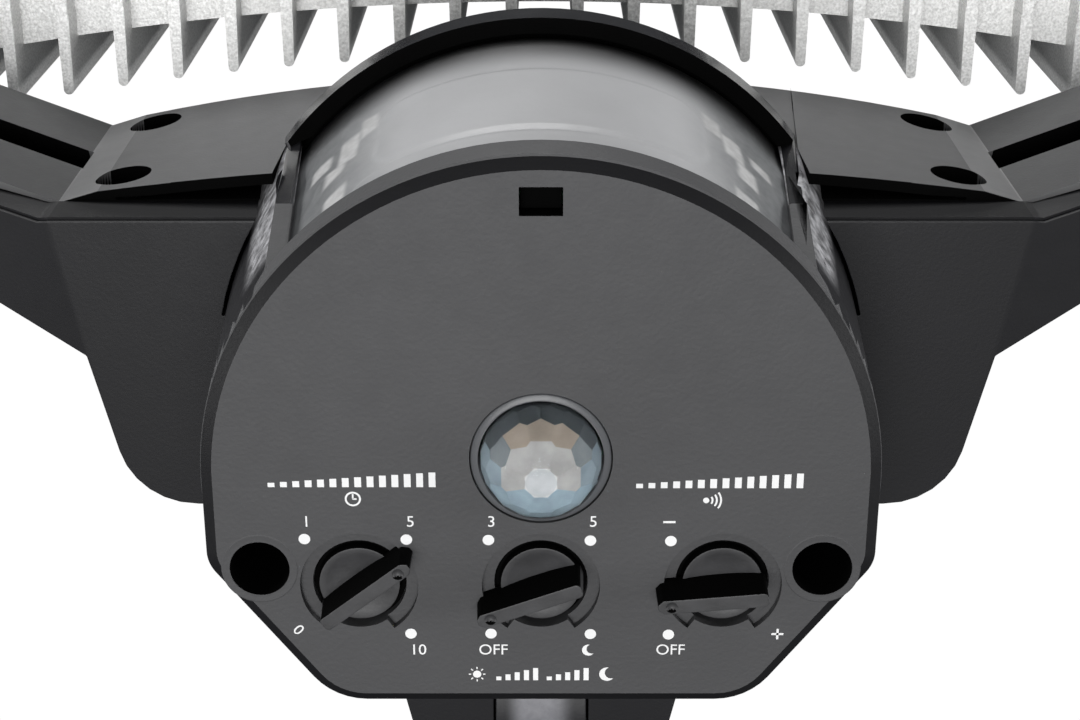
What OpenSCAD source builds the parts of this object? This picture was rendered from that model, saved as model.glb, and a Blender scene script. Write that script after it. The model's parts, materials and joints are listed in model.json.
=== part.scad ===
// Wall light with a motion sensor: a curved lamp head tilts between two ears of a body,
// and the body tilts on a knuckle in front of a round wall canopy.
// Heights are counted from the face of the sensor's panel, depths from the sensor's axis.
// The whole light is then placed so that the centre of its wall face is the origin.

/* [Sensor] */
// Radius of the sensor at the edge of its panel
sensor_r = 44; // [42:0.5:46]
// Height from the panel's face to the edge of the cap
sensor_h = 52.5; // [51:0.5:54]
// How much wider the shell is at that height
sensor_flare = 2.4; // [1.5:0.1:3]
// Angle by which the shell leans forward
sensor_lean = 3.7; // [3:0.1:4.2]
// Thickness of the sensor's walls
sensor_wall = 2.3; // [2:0.1:2.6]
// Thickness of the panel with the dials
panel_t = 2.5; // [2:0.1:3]
// Width of the bevel round the panel's front
panel_bevel = 1.5; // [1:0.1:2]
// Distance from the sensor's axis to its straight rear edge
sensor_back = 33; // [31:0.5:35]
// Half the length of that rear edge
sensor_back_half = 28; // [24:1:30]
// Distance behind the axis where the straight sides end
sensor_side_back = 12; // [10:0.5:14]
// Radius of the panel's corners at the ends of the rear edge
rear_corner_r = 9; // [7:0.5:10]
// Height of the seam between base and shell
seam_z = 26.8; // [25:0.2:27.4]
// Height of the window's lower edge
window_low = 5.1; // [4.5:0.1:7]
// Height of the window's upper edge
window_high = 48.5; // [47:0.1:49.5]
// Distance in front of the axis where the window ends at the sides
window_front = 27.4; // [26:0.1:30]
// Thickness of the lens behind the window
lens_t = 1; // [0.8:0.1:1.2]
// How far in front of the axis the shell's rear wall stands
shell_rear = 12; // [10:0.5:14]

/* [Panel fittings] */
// Distance between neighbouring dials
dial_pitch = 24; // [22:0.5:25]
// Distance of the dials behind the sensor's axis
dial_back = 14.9; // [14.5:0.1:15.5]
// Radius of a dial's disc
dial_r = 6.15; // [5.8:0.05:6.3]
// Radius of the shallow ring round a dial
dial_ring_r = 7.8; // [7.6:0.1:8.2]
// Depth of that ring
dial_ring_depth = 1.2; // [1:0.1:1.4]
// Half the angle of the stop that closes the ring
dial_stop_half = 35; // [30:1:40]
// Length of a dial's grip from its centre to the pointer's end
grip_reach = 8.9; // [8.4:0.1:9.4]
// Width of a dial's grip
grip_w = 2.4; // [2:0.1:3]
// Height of a dial's grip in front of the panel
grip_h = 4.6; // [3:0.1:5]
// Radius of the lens that looks down
down_lens_r = 9.2; // [8.8:0.1:9.4]
// Height of that lens's dome
down_lens_sag = 7.2; // [6.5:0.1:7.8]
// Distance of the down lens in front of the axis
down_lens_front = 3.7; // [3.5:0.1:4.5]
// Radius of the two deep screw wells in the panel
well_r = 3.95; // [3.6:0.05:4.2]
// Distance of a screw well from the middle
well_x = 37; // [36.5:0.1:37.4]
// Distance of the screw wells behind the axis
well_back = 12.3; // [11.5:0.1:13]
// Width of the light sensor's slot
cell_slot_w = 5.4; // [4.5:0.1:6]
// Distance of that slot's middle in front of the axis
cell_front = 38.5; // [38:0.1:38.8]

/* [Body] */
// Height of the body's underside above the panel
body_low = 29.5; // [29.3:0.1:30]
// Height of the ledge under the front cover
ledge_z = 37.3; // [36:0.1:39]
// Height of the body's top
body_top = 75.5; // [74.5:0.5:78]
// Half the width of the body at its front corners
body_half = 68; // [67:0.5:70]
// Radius of the front cover's curve in plan
cover_curve_r = 300; // [280:5:340]
// Distance of the front cover's middle in front of the axis
cover_front = 34.1; // [33.5:0.1:35]
// Distance of the joint between cover and housing in front of the axis
joint_front = 22; // [21:0.5:23]
// Distance of the body's rear wall behind the axis
body_back = 18; // [17:0.5:20]
// Angle by which the wings sweep forward
wing_sweep = 21; // [20:0.5:22]
// Thickness of the body's walls
body_wall = 2.5; // [2:0.1:3]
// Height of the long groove in each wing
groove_h = 8; // [6:0.5:9]
// Height of the middle of that groove
groove_z = 57; // [55:0.5:59]
// Depth of that groove
groove_d = 4; // [3:0.1:4.2]
// Distance of the cover's screws from the body's front corners
cover_screw_in = 8; // [7.5:0.1:8.5]
// Height of the lower cover screws
cover_screw_low = 43.5; // [43:0.1:44.5]
// Height of the upper cover screws
cover_screw_high = 69.8; // [69:0.1:70]

/* [Lamp head] */
// Half the width of the lamp head
head_half = 114.5; // [112:0.5:118]
// Height of the lamp head's lower edge
head_low = 90; // [88:0.5:92]
// Height of the lamp head itself
head_h = 95; // [90:1:100]
// Radius of the heat sink's curved back
sink_r = 520; // [500:5:560]
// Distance of that back in front of the sensor's axis
sink_front = 41; // [40:0.5:43]
// Thickness of the heat sink's plate
sink_t = 6; // [5:0.5:7]
// Distance from fin to fin
fin_pitch = 9.15; // [8.5:0.05:9.5]
// Thickness of a fin at its root
fin_root = 2; // [1.8:0.1:3]
// Thickness of a fin at its tip
fin_tip = 1.6; // [1.4:0.1:2.4]
// Length of the middle fins
fin_len = 7.6; // [7:0.2:10]
// Height by which the fins stand below the plate
fin_drop = 5.8; // [5:0.1:6.5]
// Distance of the row of fins from the middle of the head
fin_shift = 0.6; // [0:0.1:1]
// Height of the lamp's pivot
pivot_z = 118; // [116:0.5:122]
// Distance of the lamp's pivot in front of the axis
pivot_front = 36; // [35:0.5:36.5]
// Thickness of an ear beside the lamp head
ear_t = 5; // [4:0.5:6]
// Width of the bezel's rim
bezel_rim = 9; // [8:0.5:11]

/* [Wall canopy] */
// Radius of the wall canopy
canopy_r = 45; // [44:0.5:50]
// Depth of the wall canopy with its gasket
canopy_d = 16; // [15:0.5:18]
// Thickness of the wall gasket
wall_gasket_t = 2; // [1.5:0.1:2.5]
// Distance from the sensor's axis to the wall
wall_back = 116; // [112:0.5:120]
// Height of the knuckle's pin above the panel
knuckle_z = 52; // [50:0.5:54]
// Distance of the knuckle's pin from the wall
knuckle_out = 54; // [50:0.5:56]
// Radius of the knuckle's round end
knuckle_r = 14; // [13:0.5:15]
// Width of the knuckle over both ears
knuckle_w = 43; // [40:0.5:46]
// Width of the tongue between the ears
tongue_w = 14.4; // [13:0.1:16]
// Distance between the two wall screw holes
strap_pitch = 50.8; // [48:0.1:54]
// Radius of a wall screw hole
strap_hole_r = 2.6; // [2.2:0.1:3]

/* [Clearances] */
// Radial clearance of pins and dials that turn
running_fit = 0.05; // [0.03:0.01:0.08]
// Gap between pieces that don't touch
air_gap = 0.3; // [0.25:0.05:0.4]
// Radial clearance of a screw in its hole
screw_clear = 0.15; // [0.1:0.05:0.25]

/* [Hidden] */

$fn = 72;
arc_steps = 6;
big = 300;

// Sensor values that follow from the sizes above
panel_bevel_h = 0.95;
cap_bevel = 1.4;
cap_z = sensor_h + cap_bevel;
shell_plate_top = body_low - 0.8;
lens_gap = 0.5;
lens_half = 57;
down_dome_r = down_lens_r - 1.1;
corner_turn = atan2(sensor_r - sensor_back_half, sensor_back - sensor_side_back);
boss_r = well_r + 1.9;
well_top = 18;
small_screw_r = 1.75;
small_head_r = 3.4;
small_head_h = 2.4;
board_z = 12;
board_t = 1.6;
board_r = 40.3;
board_half = 30.5;
board_back = 27;
board_posts = [[26, -16], [12, 24.5]];
post_r = 2.4;
tiny_screw_r = 1;
tiny_head_r = 1.9;
pyro_board_front = 16.6;
pyro_r = 4.6;
pyro_h = 5;
pyro_z = 32;
cell_slot_l = 3.7;
cell_tube_l = 2.7;
cell_tube_wall = 0.9;
cell_step = 0.2;
cell_r = 1.1;
cell_low = 7;
cell_y = cell_slot_l / 2 - cell_front + cell_step - cell_tube_l / 2;

// Dial values
dial_inset = 0.6;
dial_hole_r = dial_r + running_fit;
dial_flange_r = dial_r + 1.2;
dial_shaft_r = 2;
dial_shaft_top = 9.2;
lug_half = 8;
switch_r = 5.6;
switch_low = 6.8;
dial_x = [-dial_pitch, 0, dial_pitch];
timer_turn = 52;
mode_turn = -110;
range_turn = -95;

// Body values
cover_screw_x = body_half - cover_screw_in;
bevel_x = body_half - 5.5;
bevel_y = cover_front - (cover_curve_r - sqrt(pow(cover_curve_r, 2) - pow(bevel_x, 2)));
corner_front = bevel_y - 1.7;
lip_front = 26;
groove_end = head_half - 9.5;
ledge_skin = 1.6;
ledge_d = 6;
ledge_step = 0.4;
wing_groove_x = body_half + 20;
wing_end = head_half + 2.5;
wing_kink = [body_half + 20, -19.7];
wing_root = [body_half - 3.6, -5.5];
tub_corner = [body_half - 9, body_back];
tub_corner_r = 11;
wing_tip_back = 32;
gasket_t = 1;
pocket_gap = 0.5;
pocket_top = cap_z + 0.7;
pocket_y = -shell_rear + air_gap;
pocket_wall = 2;
pocket_mouth = sensor_r - 6.3;
mouth_step = 0.7;
lap_t = 0.8;
lip_low = body_low + lap_t + 0.1;
neck_low = 38;
neck_high = 66;
cover_boss_r = 5;
recess_boss_in = body_wall - 0.5;
well_boss_r = 4.6;
well_boss_h = 12;
screw_recess_r = 4;
screw_recess_d = 5;
cover_screw_l = 12 - joint_front - cover_y(cover_screw_x, screw_recess_d);
pivot_r = 4;
ear_r = 11;
pivot_head_r = 7;
pivot_head_h = 4;
washer_r = 6.5;
driver_z0 = 44;
driver_z1 = 70.5;
driver_half = body_half - 16;
driver_y = 4;
terminal_x = 11 - driver_half;

// Lamp head values
cheek_t = 5;
sink_centre = sink_r - sink_front;
sink_out = sink_r + sink_t;
rim_out = sink_out + 8;
lens_in = rim_out + 1.5;
lens_out = lens_in + 3;
bezel_out = lens_out + 3;
middle_gap = 10.8;
fin_count = 1 + floor((head_half - cheek_t - fin_root - fin_shift - middle_gap / 2) / fin_pitch);
fin_tip_r = 470;
fin_round = fin_tip / 2 - 0.05;
foot_reach = 7;
rim_w = 9;
lens_seat = 5.5;
head_top = head_low + head_h;
plate_low = head_low + fin_drop;
led_pitch = (head_half - 12.5) * 2 / 3;
led_w = led_pitch - 6;
led_h = 64;
led_z = (plate_low + head_top) / 2;
led_turn = asin(led_pitch / sink_out);
led_back = sink_out + 1.2;
chip_pitch = 10;
chip_w = 3.6;
chip_h = 1;
reflector_t = 4.6;
bezel_screw_r = 1.25;
bezel_screw_l = 14;

// Wall values
canopy_face = wall_back - canopy_d;
canopy_wall = 3;
knuckle_y = wall_back - knuckle_out;
tongue_slot = tongue_w + 2 * air_gap;
ear_root = knuckle_y - knuckle_r - 3;
strap_half = 38;
strap_w = 16;
strap_t = 2;
canopy_screw_x = 33;
bolt_head_r = 6.5;
bolt_head_h = 4;
washer_t = 1;
canopy_screw_r = 2;
bolt_seat = 13;
bolt_well_r = bolt_head_r + 1;
gland_x = 34;
gland_r = 7;
gland_thread_r = 5;
gland_bore_r = 3.2;
grommet_r = 5;
grommet_x = 26;
grommet_drop = 20;
collar_root_r = 22;
collar_r = 18;
collar_h = 6;

// The whole light, moved so that its wall face's centre is the origin
module placed() {
    translate([0, -wall_back, -knuckle_z]) children();
}

module both_sides() {
    children();
    mirror([1, 0, 0]) children();
}

function unit(v) = v / norm(v);
function xy(c) = [c.x, c.y];
function with_mirror(p) = concat(p, [for (i = [len(p) - 1 : -1 : 0]) [-p[i].x, p[i].y]]);

// One rounded corner c between its neighbours p and n
function round_corner(p, c, n, r) = r <= 0 ? [c] :
    let (u = unit(p - c), v = unit(n - c), half = acos(u * v) / 2)
    let (m = c + unit(u + v) * r / sin(half), s = c + u * r / tan(half), e = c + v * r / tan(half))
    let (a0 = atan2(s.y - m.y, s.x - m.x), a1 = atan2(e.y - m.y, e.x - m.x))
    let (turn = ((a1 - a0 + 540) % 360) - 180)
    [for (i = [0 : arc_steps]) m + r * [cos(a0 + turn * i / arc_steps), sin(a0 + turn * i / arc_steps)]];

// An outline whose corners are [x, y, radius]
function round_outline(c) = [for (i = [0 : len(c) - 1])
    each round_corner(xy(c[(i + len(c) - 1) % len(c)]), xy(c[i]), xy(c[(i + 1) % len(c)]), c[i].z)];

module slab(points, z0, z1) {
    translate([0, 0, z0]) linear_extrude(z1 - z0) polygon(points);
}

// A wedge round the axis, open to the front
module front_wedge(half, z0, z1) {
    reach = 90;
    slab([[0, 0], reach * [-sin(half), -cos(half)], reach * [sin(half), -cos(half)]], z0, z1);
}

module in_front_of(y) {
    translate([-big / 2, y - big, -big / 2]) cube(big);
}

// A screw whose head starts at the origin and whose shank points up
module screw(shank_r, length, head_r, head_h) {
    difference() {
        union() {
            cylinder(r = head_r, h = head_h, $fn = 36);
            cylinder(r = shank_r, h = head_h + length, $fn = 36);
        }
        for (turn = [0, 90])
            rotate([0, 0, turn])
                translate([-head_r * 0.6, -head_r * 0.12, -0.1])
                    cube([head_r * 1.2, head_r * 0.24, head_h * 0.5 + 0.1]);
    }
}

// Sensor shapes
function shell_r(z) = sensor_r + sensor_flare * z / sensor_h;

// The leaning, slightly conical shell, cut level at both heights
module shell_cone(z0, z1, inset) {
    below = 10;
    above = 70;
    intersection() {
        rotate([sensor_lean, 0, 0]) translate([0, 0, -below])
            cylinder(h = below + above, r1 = shell_r(-below) - inset, r2 = shell_r(above) - inset, $fn = 144);
        translate([-big / 2, -big / 2, z0]) cube([big, big, z1 - z0]);
    }
}

// The straight rear half of the sensor's plan, drawn in by an inset
function rear_plan(inset) =
    let (x = sensor_r - inset, y = sensor_back - inset)
    let (side = sensor_side_back - inset * tan(corner_turn / 2))
    let (end = sensor_back_half - inset * tan((90 - corner_turn) / 2))
    let (r = rear_corner_r - inset)
    round_outline([[-x, 0, 0], [x, 0, 0], [x, side, 5], [end, y, r], [-end, y, r], [-x, side, 5]]);

// Everything in front of the sensor's slanted rear corners and its rear edge
module rear_trim(z0, z1, inset) {
    y = sensor_back - inset;
    slope = (sensor_back - sensor_side_back) / (sensor_r - sensor_back_half);
    end = sensor_back_half - inset * tan((90 - corner_turn) / 2);
    wide = sensor_r + 2 * sensor_flare;
    side = y - (wide - end) * slope;
    r = rear_corner_r - inset;
    slab(round_outline([[-wide, -wide, 0], [wide, -wide, 0], [wide, side, 0], [end, y, r], [-end, y, r],
        [-wide, side, 0]]), z0, z1);
}

module sensor_body(z0, z1, inset) {
    intersection() {
        shell_cone(z0, z1, inset);
        rear_trim(z0, z1, inset);
    }
    slab(rear_plan(inset), z0, z1);
}

module window_cut() {
    intersection() {
        rotate([sensor_lean, 0, 0]) in_front_of(-window_front);
        translate([-big / 2, -big / 2, window_low]) cube([big, big, window_high - window_low]);
    }
}

module at_wells() {
    both_sides() translate([well_x, well_back, 0]) children();
}

module at_board_posts() {
    for (p = board_posts)
        both_sides() translate([p.x, p.y, 0]) children();
}

module dial_seat(x) {
    translate([x, dial_back, 0]) {
        translate([0, 0, -1]) cylinder(r = dial_hole_r, h = panel_t + 2);
        difference() {
            translate([0, 0, -1]) cylinder(r = dial_ring_r, h = dial_ring_depth + 1);
            rotate([0, 0, 180]) front_wedge(dial_stop_half, -2, dial_ring_depth + 1);
        }
    }
}

// A tube that keeps stray light from the light sensor
module cell_tube() {
    inner = cell_slot_w + 2 * cell_step;
    outer = inner + 2 * cell_tube_wall;
    outer_l = cell_tube_l + 2 * cell_tube_wall;
    low = panel_t - 0.5;
    translate([0, cell_y, low]) difference() {
        translate([-outer / 2, -outer_l / 2, 0]) cube([outer, outer_l, board_z - air_gap - low]);
        translate([-inner / 2, -cell_tube_l / 2, -1]) cube([inner, cell_tube_l, board_z]);
    }
}

module sensor_base() {
    color("#4a4b4d") placed() difference() {
        union() {
            difference() {
                union() {
                    intersection() {
                        cylinder(h = panel_bevel_h, r1 = sensor_r - panel_bevel, r2 = sensor_r, $fn = 144);
                        in_front_of(5);
                    }
                    sensor_body(panel_bevel_h, seam_z, 0);
                    hull() {
                        slab(rear_plan(panel_bevel), 0, panel_bevel_h);
                        slab(rear_plan(0), panel_bevel_h, 2 * panel_bevel_h);
                    }
                }
                sensor_body(panel_t, seam_z + 1, sensor_wall);
            }
            intersection() {
                at_wells() cylinder(r = boss_r, h = seam_z);
                sensor_body(panel_bevel_h, seam_z, 0);
            }
            at_board_posts() translate([0, 0, panel_t - 0.5])
                cylinder(r = post_r, h = board_z - panel_t + 0.5);
            cell_tube();
        }
        window_cut();
        for (x = dial_x) dial_seat(x);
        translate([0, -down_lens_front, -1]) cylinder(r = down_lens_r + running_fit, h = panel_t + 2);
        at_wells() {
            translate([0, 0, -1]) cylinder(r = well_r, h = well_top + 1);
            cylinder(r = small_screw_r + screw_clear, h = seam_z + 1);
        }
        for (x = dial_x)
            translate([x, dial_back, switch_low - air_gap]) cylinder(r = switch_r + air_gap, h = board_z);
        at_board_posts() translate([0, 0, panel_t + 1]) cylinder(r = tiny_screw_r + running_fit, h = board_z);
        translate([-cell_slot_w / 2, -cell_front - cell_slot_l / 2, -1])
            cube([cell_slot_w, cell_slot_l, panel_t + 1 + cell_step]);
    }
}

module sensor_shell() {
    color("#2c2c2e") placed() difference() {
        union() {
            sensor_body(seam_z, shell_plate_top, 0);
            intersection() {
                union() {
                    shell_cone(seam_z, sensor_h, 0);
                    translate([0, -sensor_h * tan(sensor_lean), sensor_h])
                        cylinder(h = cap_bevel, r1 = shell_r(sensor_h), r2 = shell_r(sensor_h) - cap_bevel,
                            $fn = 144);
                }
                in_front_of(-shell_rear);
            }
        }
        intersection() {
            shell_cone(seam_z - 1, sensor_h - 1, sensor_wall);
            in_front_of(-shell_rear - sensor_wall);
        }
        window_cut();
        at_wells() translate([0, 0, seam_z - 1]) cylinder(r = small_screw_r + screw_clear, h = 10);
    }
}

module sensor_gasket() {
    color("#202022") placed() intersection() {
        difference() {
            sensor_body(shell_plate_top, body_low, 1);
            sensor_body(shell_plate_top - 1, body_low + 1, 4);
            at_wells() translate([0, 0, shell_plate_top - 1])
                cylinder(r = small_screw_r + screw_clear, h = 10);
        }
        translate([-big / 2, -shell_rear + 2, 0]) cube(big);
    }
}

module sensor_screws() {
    color("#6f7072") placed() at_wells() translate([0, 0, well_top - small_head_h])
        screw(small_screw_r, 22, small_head_r, small_head_h);
}

module fresnel_lens() {
    color("#c9cdd0") placed() intersection() {
        difference() {
            shell_cone(panel_t, sensor_h - 1.2, sensor_wall + lens_gap);
            shell_cone(panel_t - 1, sensor_h, sensor_wall + lens_gap + lens_t);
        }
        front_wedge(lens_half, 0, sensor_h);
    }
}

module down_lens() {
    dome_r = (pow(down_dome_r, 2) + pow(down_lens_sag, 2)) / (2 * down_lens_sag);
    color("#b9c4cc") placed() translate([0, -down_lens_front, 0]) difference() {
        union() {
            intersection() {
                translate([0, 0, dome_r - down_lens_sag]) sphere(dome_r, $fn = 96);
                translate([0, 0, -down_lens_sag]) cylinder(r = down_dome_r + 1, h = down_lens_sag + 0.5);
            }
            cylinder(r = down_lens_r, h = panel_t);
            translate([0, 0, panel_t]) cylinder(r = down_lens_r + 1, h = 1);
        }
        intersection() {
            translate([0, 0, dome_r - down_lens_sag]) sphere(dome_r - lens_t, $fn = 96);
            translate([0, 0, -down_lens_sag]) cylinder(r = down_lens_r - lens_t, h = down_lens_sag + 1);
        }
        translate([0, 0, 1]) cylinder(r = down_dome_r - lens_t + 0.4, h = panel_t + 2);
    }
}

module down_lens_ring() {
    color("#2c2c2e") placed() translate([0, -down_lens_front, panel_t + 1]) difference() {
        cylinder(r = down_lens_r + 1.4, h = 1.2);
        translate([0, 0, -1]) cylinder(r = down_lens_r - lens_t, h = 4);
    }
}

module sensor_board() {
    color("#2f6b45") placed() difference() {
        intersection() {
            translate([0, 0, board_z]) cylinder(r = board_r, h = board_t);
            translate([-board_half, -board_r, board_z]) cube([2 * board_half, board_r + board_back, board_t]);
        }
        at_board_posts() translate([0, 0, board_z - 1]) cylinder(r = tiny_screw_r + running_fit, h = 4);
    }
}

module board_screws() {
    color("#8b8d90") placed() at_board_posts() translate([0, 0, board_z + board_t + 1])
        mirror([0, 0, 1]) screw(tiny_screw_r, 6, tiny_head_r, 1);
}

module pyro_board() {
    color("#2f6b45") placed()
        translate([-13, -pyro_board_front, board_z + board_t]) cube([26, board_t, 32]);
}

module pyro_sensors() {
    color("#b8babd") placed() {
        translate([0, -down_lens_front, board_z - pyro_h]) cylinder(r = pyro_r, h = pyro_h);
        translate([0, -pyro_board_front, pyro_z]) rotate([90, 0, 0]) cylinder(r = pyro_r, h = pyro_h);
    }
}

module light_cell() {
    color("#3a2a28") placed() translate([0, cell_y, cell_low]) cylinder(r = cell_r, h = board_z - cell_low);
}

module dial_switches() {
    color("#2b3f6b") placed() for (x = dial_x) translate([x, dial_back, 0]) difference() {
        translate([0, 0, switch_low]) cylinder(r = switch_r, h = board_z - switch_low);
        translate([0, 0, switch_low - 1])
            cylinder(r = dial_shaft_r + running_fit, h = dial_shaft_top - switch_low + 1.3);
    }
}

// A dial at its place, with its pointer turned from the front
module dial(x, turn) {
    color("#1d1d1f") placed() translate([x, dial_back, 0]) rotate([0, 0, turn]) {
        translate([0, 0, dial_inset]) cylinder(r = dial_r, h = panel_t + air_gap - dial_inset);
        translate([0, 0, panel_t + air_gap]) cylinder(r = dial_flange_r, h = 1);
        cylinder(r = dial_shaft_r, h = dial_shaft_top);
        slab([[-grip_w / 2, -dial_r + 0.1], [grip_w / 2, -dial_r + 0.1], [grip_w / 2, dial_r - 0.1],
            [-grip_w / 2, dial_r - 0.1]], -grip_h, dial_inset);
        slab(round_outline([[-grip_w / 2, -grip_reach, 0.6], [grip_w / 2, -grip_reach, 0.6],
            [grip_w / 2, 0, 0], [-grip_w / 2, 0, 0]]), -grip_h, -air_gap);
        intersection() {
            translate([0, 0, -air_gap]) cylinder(r = dial_ring_r - 0.4, h = dial_ring_depth);
            front_wedge(lug_half, -2, dial_ring_depth);
        }
    }
}

module timer_dial() {
    dial(-dial_pitch, timer_turn);
}

module mode_dial() {
    dial(0, mode_turn);
}

module range_dial() {
    dial(dial_pitch, range_turn);
}

// Body shapes
function cover_y(x, inset) = -cover_front + inset
    + cover_curve_r - sqrt(pow(cover_curve_r, 2) - pow(x, 2));
function wing_front(x) = -corner_front - (x - body_half) * tan(wing_sweep);
function wing_joint(x) = -joint_front - (x - body_half) * tan(wing_sweep - 2.4);
function lip_y(x) = -lip_front + 0.6 - (x - body_half) * tan(wing_sweep - 5);

// Plan of the curved front cover with its wings
function cover_plan() = with_mirror(concat(
    [for (i = [0 : 12]) [bevel_x * i / 12, cover_y(bevel_x * i / 12, 0)]],
    [[body_half, -corner_front], [wing_end, wing_front(wing_end)],
    [wing_end, wing_joint(wing_end)], [body_half, -joint_front]]));

function lip_plan() = with_mirror([[0, -lip_front], [body_half, -lip_front],
    [body_half + 1.5, lip_y(body_half + 1.5)], [wing_end, lip_y(wing_end)],
    [wing_end, wing_joint(wing_end)], [body_half, -joint_front]]);

function cover_hollow(front) = with_mirror(concat(
    [for (i = [0 : 12]) [(bevel_x + 1) * i / 12, max(cover_y(bevel_x * i / 12, body_wall), -front)]],
    [[bevel_x + 1, -joint_front + 1]]));

// The deep groove between the front cover's skin and the lip behind it
function ledge_groove(reach) = with_mirror(concat(
    [for (i = [0 : 12]) let (x = reach * i / 12)
        [x, min(cover_y(x, ledge_skin), -lip_front - 2 * ledge_step)]],
    [[reach, -lip_front - ledge_step]]));

function wing_groove() = [[wing_groove_x, wing_front(wing_groove_x) + ledge_skin],
    [wing_end - 1, wing_front(wing_end - 1) + ledge_skin], [wing_end - 1, lip_y(wing_end - 1) - ledge_step],
    [wing_groove_x, lip_y(wing_groove_x) - ledge_step]];

// Room for the sensor's shell in the front of the body
module sensor_pocket(grow, z0, z1) {
    intersection() {
        union() {
            shell_cone(z0, sensor_h + air_gap, -pocket_gap - grow);
            shell_cone(z0, z1, -grow);
        }
        in_front_of(pocket_y + grow);
    }
}

module at_cover_screws() {
    for (z = [cover_screw_low, cover_screw_high])
        both_sides() translate([cover_screw_x, 0, z]) children();
}

// The thin front edge of the housing's floor, which laps under the cover's lip
function lap_plan() = with_mirror([[0, -lip_front + ledge_step], [body_half, -lip_front + ledge_step],
    [body_half + 1.5, lip_y(body_half + 1.5) + ledge_step], [wing_end + 1, lip_y(wing_end + 1) + ledge_step],
    [wing_end + 1, wing_joint(wing_end + 1) + 2], [body_half, -joint_front + gasket_t + 2]]);

module cover_shell() {
    difference() {
        union() {
            slab(cover_plan(), ledge_z, body_top);
            slab(lip_plan(), lip_low, ledge_z);
        }
        difference() {
            union() {
                slab(cover_hollow(big), ledge_z + ledge_d + body_wall, body_top - body_wall);
                slab(cover_hollow(lip_front - body_wall), ledge_z + body_wall,
                    ledge_z + ledge_d + body_wall + 1);
                translate([-body_half + 5, -joint_front - 1.5, body_low + body_wall])
                    cube([2 * body_half - 10, 3, ledge_z - body_low + body_wall]);
            }
            sensor_pocket(pocket_wall, body_low, pocket_top + pocket_wall);
        }
    }
}

module front_cover() {
    color("#3d3e40") placed() difference() {
        union() {
            difference() {
                cover_shell();
                slab(ledge_groove(cover_screw_x), ledge_z - 1, ledge_z + ledge_d);
                both_sides() slab(wing_groove(), ledge_z - 1, ledge_z + ledge_d);
            }
            at_cover_screws() translate([0, cover_y(cover_screw_x, recess_boss_in), 0])
                rotate([-90, 0, 0]) cylinder(r = screw_recess_r + 1.5,
                    h = -joint_front - cover_y(cover_screw_x, recess_boss_in));
        }
        sensor_pocket(0, body_low - 1, pocket_top);
        translate([0, -lip_front, 0]) rotate([90, 0, 0]) linear_extrude(20)
            polygon(with_mirror([[0, lip_low - 1], [pocket_mouth, lip_low - 1], [pocket_mouth, ledge_z + 1],
                [pocket_mouth - mouth_step, sensor_h - 2], [0, sensor_h - 2]]));
        at_cover_screws() {
            translate([0, cover_y(cover_screw_x, screw_recess_d) - 20, 0]) rotate([-90, 0, 0])
                cylinder(r = screw_recess_r, h = 20);
            translate([0, -big / 2, 0]) rotate([-90, 0, 0])
                cylinder(r = small_screw_r + screw_clear, h = big);
        }
        both_sides() slab([[body_half, -corner_front - 10], [groove_end, wing_front(groove_end) - 10],
            [groove_end, wing_front(groove_end) + groove_d], [body_half, wing_front(body_half) + groove_d]],
            groove_z - groove_h / 2, groove_z + groove_h / 2);
    }
}

module cover_screws() {
    color("#6f7072") placed() at_cover_screws()
        translate([0, cover_y(cover_screw_x, screw_recess_d) - small_head_h, 0])
            rotate([-90, 0, 0]) screw(small_screw_r, cover_screw_l, small_head_r, small_head_h);
}

// Plan of the rear housing: the tub in the middle and the wings
function housing_plan() = with_mirror(concat(
    [[body_half, -joint_front + gasket_t], [body_half, -joint_front], [wing_end, wing_joint(wing_end)],
    [wing_end + 1, wing_joint(wing_end)], [wing_end + 1, -wing_tip_back], wing_kink, wing_root],
    round_corner(wing_root, tub_corner, [0, body_back], tub_corner_r)));

function tub_hollow() = with_mirror(concat(
    [[body_half - 4, -joint_front - 1], wing_root - [body_wall, 0]],
    round_corner(wing_root, tub_corner - body_wall * [1, 1], [0, body_back - body_wall],
        tub_corner_r - body_wall)));

function ear_plan() =
    let (front = wing_front(wing_end) - 1, rear = -wing_tip_back + 1)
    [[front, body_low], [rear, body_low], [rear, body_top], [-pivot_front + ear_r, pivot_z],
    [-pivot_front - ear_r, pivot_z], [front, body_top]];

// An outline of depths and heights, extruded sideways
module upright(points, x0, x1) {
    translate([x0, 0, 0]) rotate([90, 0, 90]) linear_extrude(x1 - x0) polygon(points);
}

// A round bar along X whose middle line passes through a depth and a height
module cross_bar(r, x0, x1, y, z) {
    translate([x0, y, z]) rotate([0, 90, 0]) cylinder(r = r, h = x1 - x0);
}

module ear() {
    upright(ear_plan(), wing_end, wing_end + ear_t);
    cross_bar(ear_r, wing_end, wing_end + ear_t, -pivot_front, pivot_z);
}

// The knuckle's round end and the straight part that leads to its root
module knuckle_side(half, root) {
    cross_bar(knuckle_r, -half, half, knuckle_y, knuckle_z);
    translate([-half, min(root, knuckle_y), knuckle_z - knuckle_r])
        cube([2 * half, abs(knuckle_y - root), 2 * knuckle_r]);
}

module neck() {
    half = knuckle_w / 2;
    intersection() {
        knuckle_side(half, body_back - body_wall);
        slab([[-half, 0], [half, 0], [half, knuckle_y - 6], [half - 4.5, knuckle_y + knuckle_r],
            [-half + 4.5, knuckle_y + knuckle_r], [-half, knuckle_y - 6]], 0, big);
    }
}

module at_driver_posts() {
    for (z = [driver_z0 + 3, driver_z1 - 3])
        both_sides() translate([driver_half - 4, 0, z]) rotate([-90, 0, 0]) children();
}

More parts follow.
